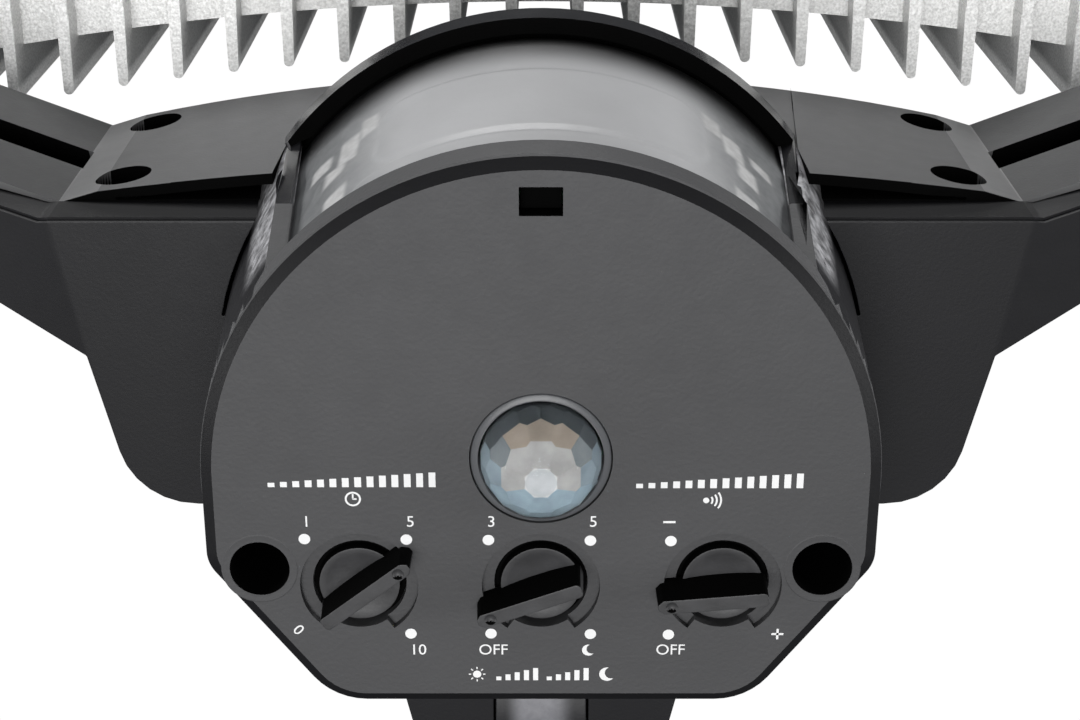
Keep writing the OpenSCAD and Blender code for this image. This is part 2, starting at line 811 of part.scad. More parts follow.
module rear_housing() {
    color("#323336") placed() difference() {
        union() {
            difference() {
                slab(housing_plan(), body_low, body_top);
                slab(tub_hollow(), body_low + body_wall, body_top - body_wall);
            }
            slab(lap_plan(), body_low, body_low + lap_t);
            intersection() {
                sensor_pocket(pocket_wall, body_low, pocket_top + pocket_wall);
                translate([-big / 2, -joint_front + gasket_t, 0]) cube(big);
            }
            at_cover_screws() translate([0, -joint_front + gasket_t, 0]) rotate([-90, 0, 0])
                cylinder(r = cover_boss_r, h = 14);
            at_wells() translate([0, 0, body_low]) cylinder(r = well_boss_r, h = well_boss_h);
            at_driver_posts() translate([0, 0, driver_y + board_t])
                cylinder(r = 3, h = body_back - body_wall - driver_y);
            both_sides() ear();
            neck();
        }
        sensor_pocket(0, body_low - 1, pocket_top);
        at_cover_screws() translate([0, -joint_front - 1, 0]) rotate([-90, 0, 0])
            cylinder(r = small_screw_r + running_fit, h = 14);
        at_wells() translate([0, 0, body_low - 1])
            cylinder(r = small_screw_r + running_fit, h = well_boss_h);
        at_driver_posts() translate([0, 0, driver_y])
            cylinder(r = tiny_screw_r + running_fit, h = 10);
        both_sides()
            cross_bar(pivot_r + running_fit, wing_end - 1, wing_end + ear_t + 1, -pivot_front, pivot_z);
        translate([-tongue_slot / 2, ear_root, 0]) cube([tongue_slot, big, big]);
        cross_bar(pivot_r + running_fit, -big / 2, big / 2, knuckle_y, knuckle_z);
        both_sides() cross_bar(bolt_well_r, bolt_seat, big / 2, knuckle_y, knuckle_z);
        translate([gland_x, 0, knuckle_z]) rotate([-90, 0, 0])
            cylinder(r = gland_thread_r + running_fit, h = body_back + 1);
    }
}

module housing_gasket() {
    color("#202022") placed() difference() {
        translate([-body_half, -joint_front, lip_low]) cube([2 * body_half, gasket_t, body_top - lip_low]);
        slab(with_mirror([[body_half - 4, -joint_front - 1], [body_half - 4, -joint_front + 2]]),
            body_low + body_wall, body_top - body_wall);
        sensor_pocket(0, body_low - 1, pocket_top);
    }
}

module cable_gland() {
    color("#2b2b2d") placed() translate([gland_x, 0, knuckle_z]) rotate([-90, 0, 0]) difference() {
        union() {
            translate([0, 0, body_back]) cylinder(r = gland_r, h = 3);
            translate([0, 0, body_back + 3]) cylinder(r = gland_r - 1, h = 7);
            translate([0, 0, body_back - body_wall - 4]) cylinder(r = gland_thread_r, h = body_wall + 4.5);
            translate([0, 0, body_back - body_wall - 3]) cylinder(r = gland_r + 1, h = 3, $fn = 6);
        }
        cylinder(r = gland_bore_r, h = body_back + 20);
    }
}

module driver_board() {
    color("#2f6b45") placed() difference() {
        translate([-driver_half, driver_y, driver_z0])
            cube([2 * driver_half, board_t, driver_z1 - driver_z0]);
        at_driver_posts() cylinder(r = tiny_screw_r + running_fit, h = 20);
    }
}

module driver_screws() {
    color("#8b8d90") placed() at_driver_posts() translate([0, 0, driver_y - 1])
        screw(tiny_screw_r, 8, tiny_head_r, 1);
}

module driver_transformer() {
    color("#c9b458") placed() {
        translate([-12, driver_y - 12.5, driver_z0 + 3]) cube([24, 12.5, 12]);
        translate([-9, driver_y - 10, driver_z0 + 15]) cube([18, 10, 8]);
    }
}

module driver_capacitors() {
    color("#34353a") placed() for (x = [driver_half - 28, driver_half - 15])
        translate([x, driver_y, driver_z0 + 10]) rotate([90, 0, 0]) cylinder(r = 5, h = 12);
}

module terminal_block() {
    color("#d8d9db") placed() difference() {
        translate([terminal_x, driver_y - 11, driver_z1 - 9.5]) cube([24, 11, 9]);
        for (i = [0 : 3])
            translate([terminal_x + 3 + i * 6, driver_y - 12, driver_z1 - 5])
                rotate([-90, 0, 0]) cylinder(r = 1.8, h = 8);
    }
}

// Lamp head shapes, all about one upright line far behind the head
module arc_band(r0, r1, half, z0, z1) {
    intersection() {
        translate([0, sink_centre, z0]) difference() {
            cylinder(r = r1, h = z1 - z0, $fn = 720);
            translate([0, 0, -1]) cylinder(r = r0, h = z1 - z0 + 2, $fn = 720);
        }
        translate([-half, -big / 2, z0 - 1]) cube([2 * half, big, z1 - z0 + 2]);
    }
}

module arc_frame(r0, r1, edge, width) {
    difference() {
        arc_band(r0, r1, head_half - edge, plate_low + edge, head_top - edge);
        arc_band(r0 - 1, r1 + 1, head_half - edge - width, plate_low + edge + width, head_top - edge - width);
    }
}

function back_y(x) = sink_centre - sqrt(pow(sink_r, 2) - pow(x, 2));
function tip_y(x) = -sink_front + fin_len + fin_tip_r - sqrt(pow(fin_tip_r, 2) - pow(x, 2));

// Plan of a fin from a given front to its tip, as thick at the front as at the root
function fin_plan(front, tip) = round_outline([[-fin_root / 2, front, 0], [fin_root / 2, front, 0],
    [fin_root / 2, front + 2, 0], [fin_tip / 2, tip, fin_round], [-fin_tip / 2, tip, fin_round],
    [-fin_root / 2, front + 2, 0]]);

// A fin stands behind the plate, and its foot runs forward below the plate and the rim
module fin(x) {
    translate([x, 0, 0]) {
        slab(fin_plan(back_y(x) - sink_t + 1, tip_y(x)), head_low, head_top);
        slab(fin_plan(back_y(x) - sink_t - foot_reach, back_y(x) - 1), head_low, plate_low + 1);
    }
}

module at_leds() {
    for (side = [-1 : 1])
        translate([0, sink_centre, led_z]) rotate([0, 0, side * led_turn])
            translate([0, -led_back, 0]) children();
}

module at_bezel_screws() {
    for (x = [-3, -1, 1, 3], z = [plate_low + 3, head_top - 3])
        translate([0, sink_centre, z]) rotate([0, 0, asin(x * (head_half - 4) / 3 / bezel_out)])
            translate([0, -bezel_out, 0]) rotate([-90, 0, 0]) children();
}

module heat_sink() {
    color("#c4c5c7") placed() difference() {
        union() {
            arc_band(sink_r, sink_out, head_half, plate_low, head_top);
            arc_frame(sink_out - 1, rim_out, 0, rim_w);
            both_sides() intersection() {
                arc_band(sink_r - 8, sink_out, head_half, plate_low, head_top);
                translate([head_half - cheek_t, -big / 2, 0]) cube([cheek_t, big, big]);
            }
            both_sides() cross_bar(washer_r, head_half - 10, head_half, -pivot_front, pivot_z);
            translate([fin_shift, 0, 0]) both_sides()
                for (i = [0 : fin_count - 1]) fin(middle_gap / 2 + i * fin_pitch);
            at_leds() translate([-led_w / 2, 0, -led_h / 2]) cube([led_w, led_back - sink_out + 1.5, led_h]);
        }
        both_sides() cross_bar(pivot_r + running_fit, head_half - 8.5, head_half + 1, -pivot_front, pivot_z);
        at_bezel_screws() cylinder(r = bezel_screw_r + running_fit, h = bezel_screw_l + 0.5);
    }
}

module led_boards() {
    color("#e9e9e4") placed() at_leds()
        translate([-led_w / 2, -board_t, -led_h / 2]) cube([led_w, board_t, led_h]);
}

module led_chips() {
    color("#e8c94a") placed() at_leds()
        for (i = [-2 : 2], j = [-2 : 2])
            translate([i * chip_pitch - chip_w / 2, -board_t - chip_h, j * chip_pitch - chip_w / 2])
                cube([chip_w, chip_h, chip_w]);
}

module reflectors() {
    color("#dfe1e4") placed() at_leds() translate([0, -board_t - reflector_t, 0]) difference() {
        translate([-led_w / 2, 0, -led_h / 2]) cube([led_w, reflector_t, led_h]);
        hull() {
            translate([-led_w / 2 + 1, -0.1, -led_h / 2 + 1]) cube([led_w - 2, 0.1, led_h - 2]);
            translate([-led_w / 2 + 4, reflector_t, -led_h / 2 + 4]) cube([led_w - 8, 0.1, led_h - 8]);
        }
    }
}

module lens_gasket() {
    color("#202022") placed() arc_frame(rim_out, lens_in, lens_seat, rim_w - lens_seat);
}

module lamp_lens() {
    color("#dfe7ea") placed()
        arc_band(lens_in, lens_out, head_half - lens_seat, plate_low + lens_seat, head_top - lens_seat);
}

module lamp_bezel() {
    color("#2c2c2e") placed() difference() {
        arc_frame(rim_out, bezel_out, 0, bezel_rim);
        arc_band(rim_out - 1, lens_out, head_half - lens_seat + air_gap,
            plate_low + lens_seat - air_gap, head_top - lens_seat + air_gap);
        at_bezel_screws() translate([0, 0, -1]) cylinder(r = bezel_screw_r + screw_clear, h = 20);
    }
}

module bezel_screws() {
    color("#6f7072") placed() at_bezel_screws() translate([0, 0, -1.2])
        screw(bezel_screw_r, bezel_screw_l, 2.6, 1.2);
}

module pivot_bolts() {
    color("#8b8d90") placed() both_sides() {
        difference() {
            cross_bar(pivot_head_r, wing_end + ear_t + running_fit, wing_end + ear_t + pivot_head_h,
                -pivot_front, pivot_z);
            translate([wing_end + ear_t + 1.5, -pivot_front, pivot_z]) rotate([0, 90, 0])
                cylinder(r = 2.9, h = pivot_head_h, $fn = 6);
        }
        cross_bar(pivot_r, head_half - 8, wing_end + ear_t + 1, -pivot_front, pivot_z);
    }
}

module pivot_washers() {
    color("#3a3a3c") placed() both_sides() difference() {
        cross_bar(washer_r, head_half + 2 * running_fit, wing_end, -pivot_front, pivot_z);
        cross_bar(pivot_r + running_fit, head_half - 1, wing_end + 1, -pivot_front, pivot_z);
    }
}

// Wall shapes, drawn with the wall at zero and up as the second direction
module on_wall() {
    translate([0, wall_back, knuckle_z]) rotate([90, 0, 0]) children();
}

module wall_gasket() {
    color("#202022") placed() on_wall() difference() {
        cylinder(r = canopy_r, h = wall_gasket_t);
        translate([0, 0, -1]) cylinder(r = canopy_r - 6, h = wall_gasket_t + 2);
    }
}

module mounting_strap() {
    color("#a9abae") placed() on_wall() difference() {
        translate([-strap_half, -strap_w / 2, 0]) cube([2 * strap_half, strap_w, strap_t]);
        both_sides() {
            translate([strap_pitch / 2, 0, -1]) cylinder(r = strap_hole_r, h = strap_t + 2);
            translate([canopy_screw_x, 0, -1]) cylinder(r = canopy_screw_r + running_fit, h = strap_t + 2);
        }
    }
}

module wall_canopy() {
    color("#323336") placed() difference() {
        union() {
            on_wall() difference() {
                rotate_extrude($fn = 144) polygon(round_outline([
                    [0, wall_gasket_t, 0], [canopy_r, wall_gasket_t, 0],
                    [canopy_r, canopy_d, 5], [0, canopy_d, 0]]));
                cylinder(r = canopy_r - canopy_wall, h = canopy_d - canopy_wall);
                both_sides() translate([canopy_screw_x, 0, 0])
                    cylinder(r = canopy_screw_r + screw_clear, h = canopy_d + 1);
                translate([grommet_x, -grommet_drop, 0]) cylinder(r = grommet_r, h = canopy_d + 1);
            }
            on_wall() translate([0, 0, canopy_d - 1])
                cylinder(r1 = collar_root_r, r2 = collar_r, h = collar_h + 1);
            knuckle_side(tongue_w / 2, canopy_face + 1);
        }
        cross_bar(pivot_r + running_fit, -tongue_w, tongue_w, knuckle_y, knuckle_z);
    }
}

module canopy_screws() {
    color("#8b8d90") placed() on_wall() both_sides()
        translate([canopy_screw_x, 0, canopy_d + small_head_h]) mirror([0, 0, 1])
            screw(canopy_screw_r, canopy_d - 0.5, canopy_screw_r * 2, small_head_h);
}

module cable_grommet() {
    color("#202022") placed() on_wall() translate([grommet_x, -grommet_drop, 0]) difference() {
        union() {
            translate([0, 0, canopy_d - canopy_wall - 1]) cylinder(r = grommet_r + 1.5, h = 1);
            translate([0, 0, canopy_d - canopy_wall]) cylinder(r = grommet_r, h = canopy_wall);
            translate([0, 0, canopy_d]) cylinder(r = grommet_r + 1.5, h = 1);
        }
        cylinder(r = gland_bore_r, h = big);
    }
}

module knuckle_bolt() {
    color("#8b8d90") placed() difference() {
        union() {
            cross_bar(pivot_r, -bolt_seat - washer_t - bolt_head_h, bolt_seat + washer_t + 1,
                knuckle_y, knuckle_z);
            cross_bar(bolt_head_r, bolt_seat + washer_t, bolt_seat + washer_t + bolt_head_h,
                knuckle_y, knuckle_z);
        }
        translate([bolt_seat + washer_t + 1.5, knuckle_y, knuckle_z]) rotate([0, 90, 0])
            cylinder(r = 2.9, h = bolt_head_h, $fn = 6);
    }
}

module knuckle_washers() {
    color("#a9abae") placed() both_sides() difference() {
        cross_bar(bolt_head_r + 0.4, bolt_seat, bolt_seat + washer_t, knuckle_y, knuckle_z);
        cross_bar(pivot_r + running_fit, 0, bolt_seat + washer_t + 1, knuckle_y, knuckle_z);
    }
}

module knuckle_nut() {
    color("#8b8d90") placed() difference() {
        translate([-bolt_seat - washer_t - bolt_head_h + 0.5, knuckle_y, knuckle_z]) rotate([0, 90, 0])
            cylinder(r = bolt_head_r, h = bolt_head_h - 0.5, $fn = 6);
        cross_bar(pivot_r + running_fit, -big / 2, 0, knuckle_y, knuckle_z);
    }
}

wall_gasket();
mounting_strap();
wall_canopy();
canopy_screws();
cable_grommet();
knuckle_bolt();
knuckle_washers();
knuckle_nut();
rear_housing();
front_cover();
housing_gasket();
cover_screws();
cable_gland();
driver_board();
driver_transformer();
driver_capacitors();
terminal_block();
driver_screws();
sensor_base();
sensor_shell();
sensor_gasket();
sensor_screws();
fresnel_lens();
down_lens();
down_lens_ring();
sensor_board();
board_screws();
pyro_board();
pyro_sensors();
light_cell();
dial_switches();
timer_dial();
mode_dial();
range_dial();
heat_sink();
led_boards();
led_chips();
reflectors();
lens_gasket();
lamp_lens();
lamp_bezel();
bezel_screws();
pivot_bolts();
pivot_washers();
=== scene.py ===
# %% [markdown]
# # A wall light with a motion sensor
#
# The picture looks up at the middle of a security light: a flat grey sensor panel with three
# dials, a curved lens window above it, a dark body with two wings, and the fins of a silver lamp
# head. This script gives them their finish and adds the pieces that need finer work than a solid
# model gives.

# %% Load the frame
import json
import math

import bpy
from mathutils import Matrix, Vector

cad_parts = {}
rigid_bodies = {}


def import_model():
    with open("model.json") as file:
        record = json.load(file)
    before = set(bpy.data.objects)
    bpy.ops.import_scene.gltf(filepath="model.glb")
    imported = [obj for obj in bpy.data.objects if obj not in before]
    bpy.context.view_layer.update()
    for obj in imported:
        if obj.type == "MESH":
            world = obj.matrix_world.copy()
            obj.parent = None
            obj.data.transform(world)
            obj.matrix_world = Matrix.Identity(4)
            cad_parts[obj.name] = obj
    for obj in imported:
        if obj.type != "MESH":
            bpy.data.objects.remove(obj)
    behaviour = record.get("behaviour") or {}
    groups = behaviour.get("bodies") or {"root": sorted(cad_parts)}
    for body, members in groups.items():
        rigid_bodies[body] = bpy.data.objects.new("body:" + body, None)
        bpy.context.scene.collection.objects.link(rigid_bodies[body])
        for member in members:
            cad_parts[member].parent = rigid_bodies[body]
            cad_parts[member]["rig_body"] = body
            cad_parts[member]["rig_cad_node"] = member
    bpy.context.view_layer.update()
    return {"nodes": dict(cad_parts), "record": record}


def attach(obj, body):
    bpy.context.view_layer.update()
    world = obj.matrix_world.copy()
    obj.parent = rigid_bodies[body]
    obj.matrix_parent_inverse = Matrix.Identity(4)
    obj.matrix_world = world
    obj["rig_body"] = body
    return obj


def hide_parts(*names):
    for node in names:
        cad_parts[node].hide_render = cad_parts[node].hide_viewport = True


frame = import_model()
nodes = frame["nodes"]

# %% [markdown]
# ## Where things are
#
# All heights are counted from the face of the sensor's panel, and all depths from the sensor's
# own axis, in millimetres. That is how a maker would dimension the sensor. One function turns
# such a place into the frame's metres. The front is towards minus Y, and the panel faces down.

# %% Places and small helpers
MM = 0.001
AXIS = Vector((0, -0.116, -0.052))


def at(x, y, z=0.0):
    """A place near the sensor, in millimetres, as a point of the frame."""
    return AXIS + Vector((x, y, z)) * MM


def only(piece):
    """Selects one piece and nothing else."""
    bpy.ops.object.select_all(action="DESELECT")
    piece.select_set(True)
    bpy.context.view_layer.objects.active = piece
    return piece


def settle(piece):
    """Puts a piece's place, turn and scale into its mesh."""
    only(piece)
    bpy.ops.object.transform_apply(location=True, rotation=True, scale=True)
    return piece


def worked(piece, kind, **values):
    """Adds a modifier to a piece and applies it."""
    only(piece)
    modifier = piece.modifiers.new(kind.title(), kind)
    for key, value in values.items():
        setattr(modifier, key, value)
    bpy.ops.object.modifier_apply(modifier=modifier.name)
    return piece


def smoothed(piece, angle=32):
    """Shades a piece smooth up to an angle, with its large faces kept flat."""
    only(piece)
    bpy.ops.object.shade_smooth_by_angle(angle=math.radians(angle))
    return worked(piece, "WEIGHTED_NORMAL", keep_sharp=True, weight=80)


def rounded(piece, width, angle=35):
    """Rounds the sharp edges of a piece, by a width in millimetres, and shades it smooth."""
    worked(piece, "BEVEL", width=width * MM, segments=2, limit_method="ANGLE",
           angle_limit=math.radians(angle), use_clamp_overlap=True, miter_outer="MITER_ARC")
    return smoothed(piece)


def joined(pieces, name):
    """Joins several pieces into one and names it."""
    bpy.ops.object.select_all(action="DESELECT")
    for piece in pieces:
        piece.select_set(True)
    bpy.context.view_layer.objects.active = pieces[0]
    bpy.ops.object.join()
    pieces[0].name = name
    return pieces[0]


def fitted(piece, body, slot, *stands_for):
    """Lets a finished piece ride on a body, in place of CAD nodes if any are named."""
    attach(piece, body)
    if stands_for:
        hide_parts(*stands_for)
    return piece


print("the sensor's panel is at", [round(v, 4) for v in AXIS])

# %% [markdown]
# ## Camera
#
# The camera stands in front of and well below the light and looks up at 66.8 degrees. Its place
# and its lens were worked out from the ellipses of the dials, the screw wells and the panel's
# edge, because a circle of known size tells how a picture was taken.

# %% Camera
LOOKS_UP = 66.8
bpy.ops.object.camera_add(location=at(0, -116.05, -229.76),
                          rotation=(math.radians(90 + LOOKS_UP), 0, 0))
camera = bpy.context.object
camera.name = "camera"
camera.data.lens = 66.33
camera.data.sensor_width = 36
camera.data.shift_x = -0.0009
camera.data.clip_start = 0.01
bpy.context.scene.camera = camera
print("camera at", [round(v, 4) for v in camera.location])

# %% [markdown]
# ## Floor and light
#
# The light hangs on a wall above a plain pale floor. The photograph was taken in a white studio
# with a large soft lamp near the camera: faces that look down are evenly lit, while the sides of
# the fins, which only see each other, stay dark. A white surround shows behind the object and in
# its glossy parts, but it gives little light by itself.

# %% Floor and lights
bpy.ops.mesh.primitive_plane_add(size=14, location=(0, 0, -1.35))
floor = bpy.context.object
floor.name = "floor"
floor.visible_diffuse = False


def soft_light(name, place, aim, width, height, power):
    """A white rectangular soft box that points at a place."""
    bpy.ops.object.light_add(type="AREA", location=place)
    lamp = bpy.context.object
    lamp.name = name
    lamp.rotation_euler = (Vector(aim) - Vector(place)).to_track_quat("-Z", "Y").to_euler()
    lamp.data.shape = "RECTANGLE"
    lamp.data.size = width
    lamp.data.size_y = height
    lamp.data.energy = power


middle = at(0, 0, 30)
soft_light("key_light", at(-50, -60, -700), middle, 0.45, 0.4, 4.7)
soft_light("left_light", at(-700, -60, 60), middle, 0.35, 0.8, 5.6)
soft_light("right_light", at(700, -60, 60), middle, 0.35, 0.8, 6.0)
bpy.ops.object.light_add(type="SUN", rotation=(math.radians(60), 0, math.radians(-6)))
window_light = bpy.context.object
window_light.name = "window_light"
window_light.data.energy = 2.0
window_light.data.angle = math.radians(35)

world = bpy.data.worlds.new("white_studio")
bpy.context.scene.world = world
world.use_nodes = True
sky, wires = world.node_tree.nodes, world.node_tree.links
seen = sky.new("ShaderNodeBackground")
seen.inputs["Color"].default_value = (1, 1, 1, 1)
seen.inputs["Strength"].default_value = 1.02
lit = sky["Background"]
lit.inputs["Color"].default_value = (0.93, 0.96, 1, 1)
lit.inputs["Strength"].default_value = 0.1
path = sky.new("ShaderNodeLightPath")
choice = sky.new("ShaderNodeMixShader")
wires.new(path.outputs["Is Camera Ray"], choice.inputs[0])
wires.new(lit.outputs[0], choice.inputs[1])
wires.new(seen.outputs[0], choice.inputs[2])
wires.new(choice.outputs[0], sky["World Output"].inputs["Surface"])
bpy.context.scene.view_settings.view_transform = "Standard"

# %% [markdown]
# ## Finishes
#
# Nearly every surface is moulded plastic, and no moulding is one flat colour: the tool's fine
# spark texture scatters light, the tone wanders a little over some centimetres, and the gloss
# changes where hands and weather have been. One recipe serves for all: a slow cloud for the tone,
# a quicker one for the gloss and a fine grain in relief. All patterns read Object coordinates, so
# they stay on the piece when a joint moves.

# %% The recipe for a finish
finishes = {}


def finish(name, colour, rough, mottle=0.12, cloud=45, grain=2200, relief=0.12,
           rough_wander=0.06, metal=0.0, coat=0.0, ior=1.46, transmission=0.0):
    """A material whose tone, gloss and relief come from noise on Object coordinates."""
    made = bpy.data.materials.new(name)
    made.use_nodes = True
    tree, wire = made.node_tree.nodes, made.node_tree.links.new
    shader = tree["Principled BSDF"]
    place = tree.new("ShaderNodeTexCoord").outputs["Object"]
    tone = tree.new("ShaderNodeTexNoise")
    tone.inputs["Scale"].default_value = cloud
    tone.inputs["Detail"].default_value = 4
    wire(place, tone.inputs["Vector"])
    shades = tree.new("ShaderNodeValToRGB")
    shades.color_ramp.elements[0].position = 0.3
    shades.color_ramp.elements[1].position = 0.7
    for element, share in zip(shades.color_ramp.elements, (1 - mottle, 1 + mottle)):
        element.color = [min(1, c * share) for c in colour] + [1]
    wire(tone.outputs["Fac"], shades.inputs["Fac"])
    wire(shades.outputs["Color"], shader.inputs["Base Color"])
    gloss = tree.new("ShaderNodeTexNoise")
    gloss.inputs["Scale"].default_value = cloud * 7
    wire(place, gloss.inputs["Vector"])
    spread = tree.new("ShaderNodeMapRange")
    spread.inputs["To Min"].default_value = max(0.02, rough - rough_wander)
    spread.inputs["To Max"].default_value = min(1, rough + rough_wander)
    wire(gloss.outputs["Fac"], spread.inputs["Value"])
    wire(spread.outputs["Result"], shader.inputs["Roughness"])
    fine = tree.new("ShaderNodeTexNoise")
    fine.inputs["Scale"].default_value = grain
    fine.inputs["Detail"].default_value = 2
    wire(place, fine.inputs["Vector"])
    bump = tree.new("ShaderNodeBump")
    bump.inputs["Strength"].default_value = relief
    bump.inputs["Distance"].default_value = 0.0002
    wire(fine.outputs["Fac"], bump.inputs["Height"])
    wire(bump.outputs["Normal"], shader.inputs["Normal"])
    shader.inputs["Metallic"].default_value = metal
    shader.inputs["Coat Weight"].default_value = coat
    shader.inputs["Coat Roughness"].default_value = 0.08
    shader.inputs["IOR"].default_value = ior
    shader.inputs["Transmission Weight"].default_value = transmission
    finishes[name] = made


finish("panel_plastic", (0.053, 0.053, 0.0555), 0.62, mottle=0.08, grain=1500, relief=0.3)
finish("gloss_black", (0.014, 0.014, 0.016), 0.2, coat=0.5, grain=600, relief=0.03)
finish("cover_plastic", (0.1, 0.1, 0.102), 0.5, mottle=0.08)
finish("body_plastic", (0.008, 0.008, 0.0095), 0.5, mottle=0.08, ior=1.33)
finish("dial_black", (0.036, 0.036, 0.038), 0.5, mottle=0.3, cloud=260)
finish("frosted_lens", (0.44, 0.442, 0.45), 0.4, mottle=0.05, cloud=70, grain=900, relief=0.1)
finish("facet_lens", (0.4, 0.47, 0.52), 0.15, transmission=0.2, coat=0.8)
finish("silver_paint", (0.6, 0.6, 0.59), 0.5, mottle=0.3, cloud=2200, grain=1100, relief=0.5,
       metal=0.25)
finish("lamp_glass", (0.93, 0.96, 0.97), 0.05, mottle=0.02, rough_wander=0.02, transmission=1.0,
       relief=0.0)
finish("gasket_rubber", (0.018, 0.018, 0.018), 0.75)
finish("zinc_steel", (0.55, 0.56, 0.58), 0.32, metal=1.0, relief=0.06)
finish("black_steel", (0.05, 0.05, 0.052), 0.4, metal=0.6)
finish("can_metal", (0.62, 0.63, 0.64), 0.25, metal=1.0)
finish("board_green", (0.02, 0.12, 0.05), 0.3, cloud=160, mottle=0.35)
finish("board_white", (0.78, 0.78, 0.75), 0.35)
finish("led_yellow", (0.85, 0.6, 0.12), 0.4, cloud=400, mottle=0.15)
finish("reflector_chrome", (0.82, 0.83, 0.84), 0.12, metal=1.0, relief=0.02)
finish("coil_yellow", (0.55, 0.42, 0.08), 0.55)
finish("sleeve_black", (0.02, 0.022, 0.035), 0.25)
finish("terminal_white", (0.72, 0.72, 0.7), 0.5)
finish("cell_red", (0.02, 0.012, 0.012), 0.25)
finish("switch_blue", (0.02, 0.05, 0.16), 0.45)

# %% [markdown]
# ## Second tones
#
# The real light mirrors things that no scene of a few lamps holds, and some of its faces lie in
# deep shade. A second, cloudy tone paints that light and shade in, blended between given places:
# painted shade darkens the window lens towards its ends and below the cap, five soft patches on
# each side of it are painted reflections that look crumpled, painted light makes the silver
# underside of the lamp head lighter towards both sides, the shell's sides show a mottled painted
# reflection with a faint glow, and the neck to the wall has one painted highlight streak.

# %% Bands of a second tone
def banded(name, dark, light, *bands, glow=0, clouds=620):
    """Blends a second, cloudy tone into a finish wherever all the given bands overlap.

    A band names an axis ("side" is the distance from the middle) and four places in millimetres
    near the sensor: where it starts, is full, fades and ends. A small glow stands for light that
    a real glossy face mirrors out of a narrow gap. More clouds to the metre make them smaller.
    """
    made = finishes[name]
    tree, wire = made.node_tree.nodes, made.node_tree.links.new
    base = tree["Principled BSDF"].inputs["Base Color"]
    place = tree.new("ShaderNodeTexCoord").outputs["Object"]
    split = tree.new("ShaderNodeSeparateXYZ")
    wire(place, split.inputs[0])
    share = None
    for axis, *places in bands:
        value = split.outputs["XYZ".index(axis) if axis in "XYZ" else 0]
        origin = AXIS["XYZ".index(axis)] if axis in "XYZ" else 0
        if axis == "side":
            away = tree.new("ShaderNodeMath")
            away.operation = "ABSOLUTE"
            wire(value, away.inputs[0])
            value = away.outputs[0]
        starts, full, fades, ends = places
        for low, high, first, last in ((starts, full, 0, 1), (fades, ends, 1, 0)):
            ramp = tree.new("ShaderNodeMapRange")
            ramp.interpolation_type = "SMOOTHSTEP"
            wire(value, ramp.inputs["Value"])
            for socket, number in (("From Min", origin + low * MM),
                                   ("From Max", origin + high * MM),
                                   ("To Min", first), ("To Max", last)):
                ramp.inputs[socket].default_value = number
            if share is None:
                share = ramp.outputs[0]
                continue
            both = tree.new("ShaderNodeMath")
            both.operation = "MULTIPLY"
            wire(share, both.inputs[0])
            wire(ramp.outputs[0], both.inputs[1])
            share = both.outputs[0]
    cloud = tree.new("ShaderNodeTexNoise")
    cloud.inputs["Scale"].default_value = clouds
    cloud.inputs["Detail"].default_value = 3
    wire(place, cloud.inputs["Vector"])
    tones = tree.new("ShaderNodeValToRGB")
    tones.color_ramp.elements[0].position = 0.35
    tones.color_ramp.elements[1].position = 0.65
    tones.color_ramp.elements[0].color = [*dark, 1]
    tones.color_ramp.elements[1].color = [*light, 1]
    wire(cloud.outputs["Fac"], tones.inputs["Fac"])
    blend = tree.new("ShaderNodeMix")
    blend.data_type = "RGBA"
    wire(share, blend.inputs["Factor"])
    wire(base.links[0].from_socket, blend.inputs["A"])
    wire(tones.outputs["Color"], blend.inputs["B"])
    wire(blend.outputs["Result"], base)
    if glow:
        dimmed = tree.new("ShaderNodeMath")
        dimmed.operation = "MULTIPLY"
        wire(share, dimmed.inputs[0])
        dimmed.inputs[1].default_value = glow
        wire(tones.outputs["Color"], tree["Principled BSDF"].inputs["Emission Color"])
        wire(dimmed.outputs[0], tree["Principled BSDF"].inputs["Emission Strength"])


# For each patch of painted reflection on the window lens, the distance from the middle and then
# the height: where the patch starts, is full, fades and ends.
PATCHES = (((24.4, 25.2, 27, 27.8), (26, 27.2, 33.5, 34.8)),
           ((28.2, 29.2, 31, 31.8), (28.6, 29.8, 32.2, 33.4)),
           ((25.8, 26.8, 28.4, 29.4), (21.6, 22.8, 26, 27.2)),
           ((25, 25.8, 28, 28.8), (12.4, 13.6, 17.4, 18.6)),
           ((21.8, 22.8, 24.2, 25), (31, 32.4, 36, 37.4)))
# Painted shade: the window lens darker towards both ends.
banded("frosted_lens", (0.12, 0.125, 0.13), (0.16, 0.165, 0.17), ("side", 17, 30, 90, 95))
# Painted reflections: five soft lighter patches on each side of the window lens.
for side, level in PATCHES:
    banded("frosted_lens", (0.4, 0.4, 0.4), (0.5, 0.5, 0.5), ("side", *side), ("Z", *level))
# Painted shadow of the cap: the window lens darkens upwards to near black below the cap.
banded("frosted_lens", (0.002, 0.002, 0.002), (0.004, 0.004, 0.004), ("Z", 36, 47, 90, 95))
# Painted light: the silver underside of the lamp head lighter towards both sides, within a band of
# height.
banded("silver_paint", (0.66, 0.66, 0.65), (0.95, 0.95, 0.94), ("side", 12, 70, 400, 500),
       ("Z", 60, 70, 100, 118), clouds=2400)
# The shell's own gloss black, with a mottled painted reflection and a faint glow on its sides.
finish("side_black_and_reflection", (0.014, 0.014, 0.016), 0.3, coat=0.4, grain=600, relief=0.3)
banded("side_black_and_reflection", (0.13, 0.13, 0.135), (0.52, 0.52, 0.54), ("side", 33, 34, 90, 95),
       ("Y", -33, -32, -25.5, -22.5), ("Z", 6, 13, 44, 50), glow=0.12)
# The neck's dark plastic, with a painted highlight streak down the tongue.
finish("neck_plastic_and_highlight", (0.016, 0.016, 0.018), 0.45, ior=1.33)
banded("neck_plastic_and_highlight", (0.17, 0.17, 0.185), (0.21, 0.21, 0.225), ("X", -5.8, -2.5, 1.5, 5.6))
print("finishes:", len(finishes))

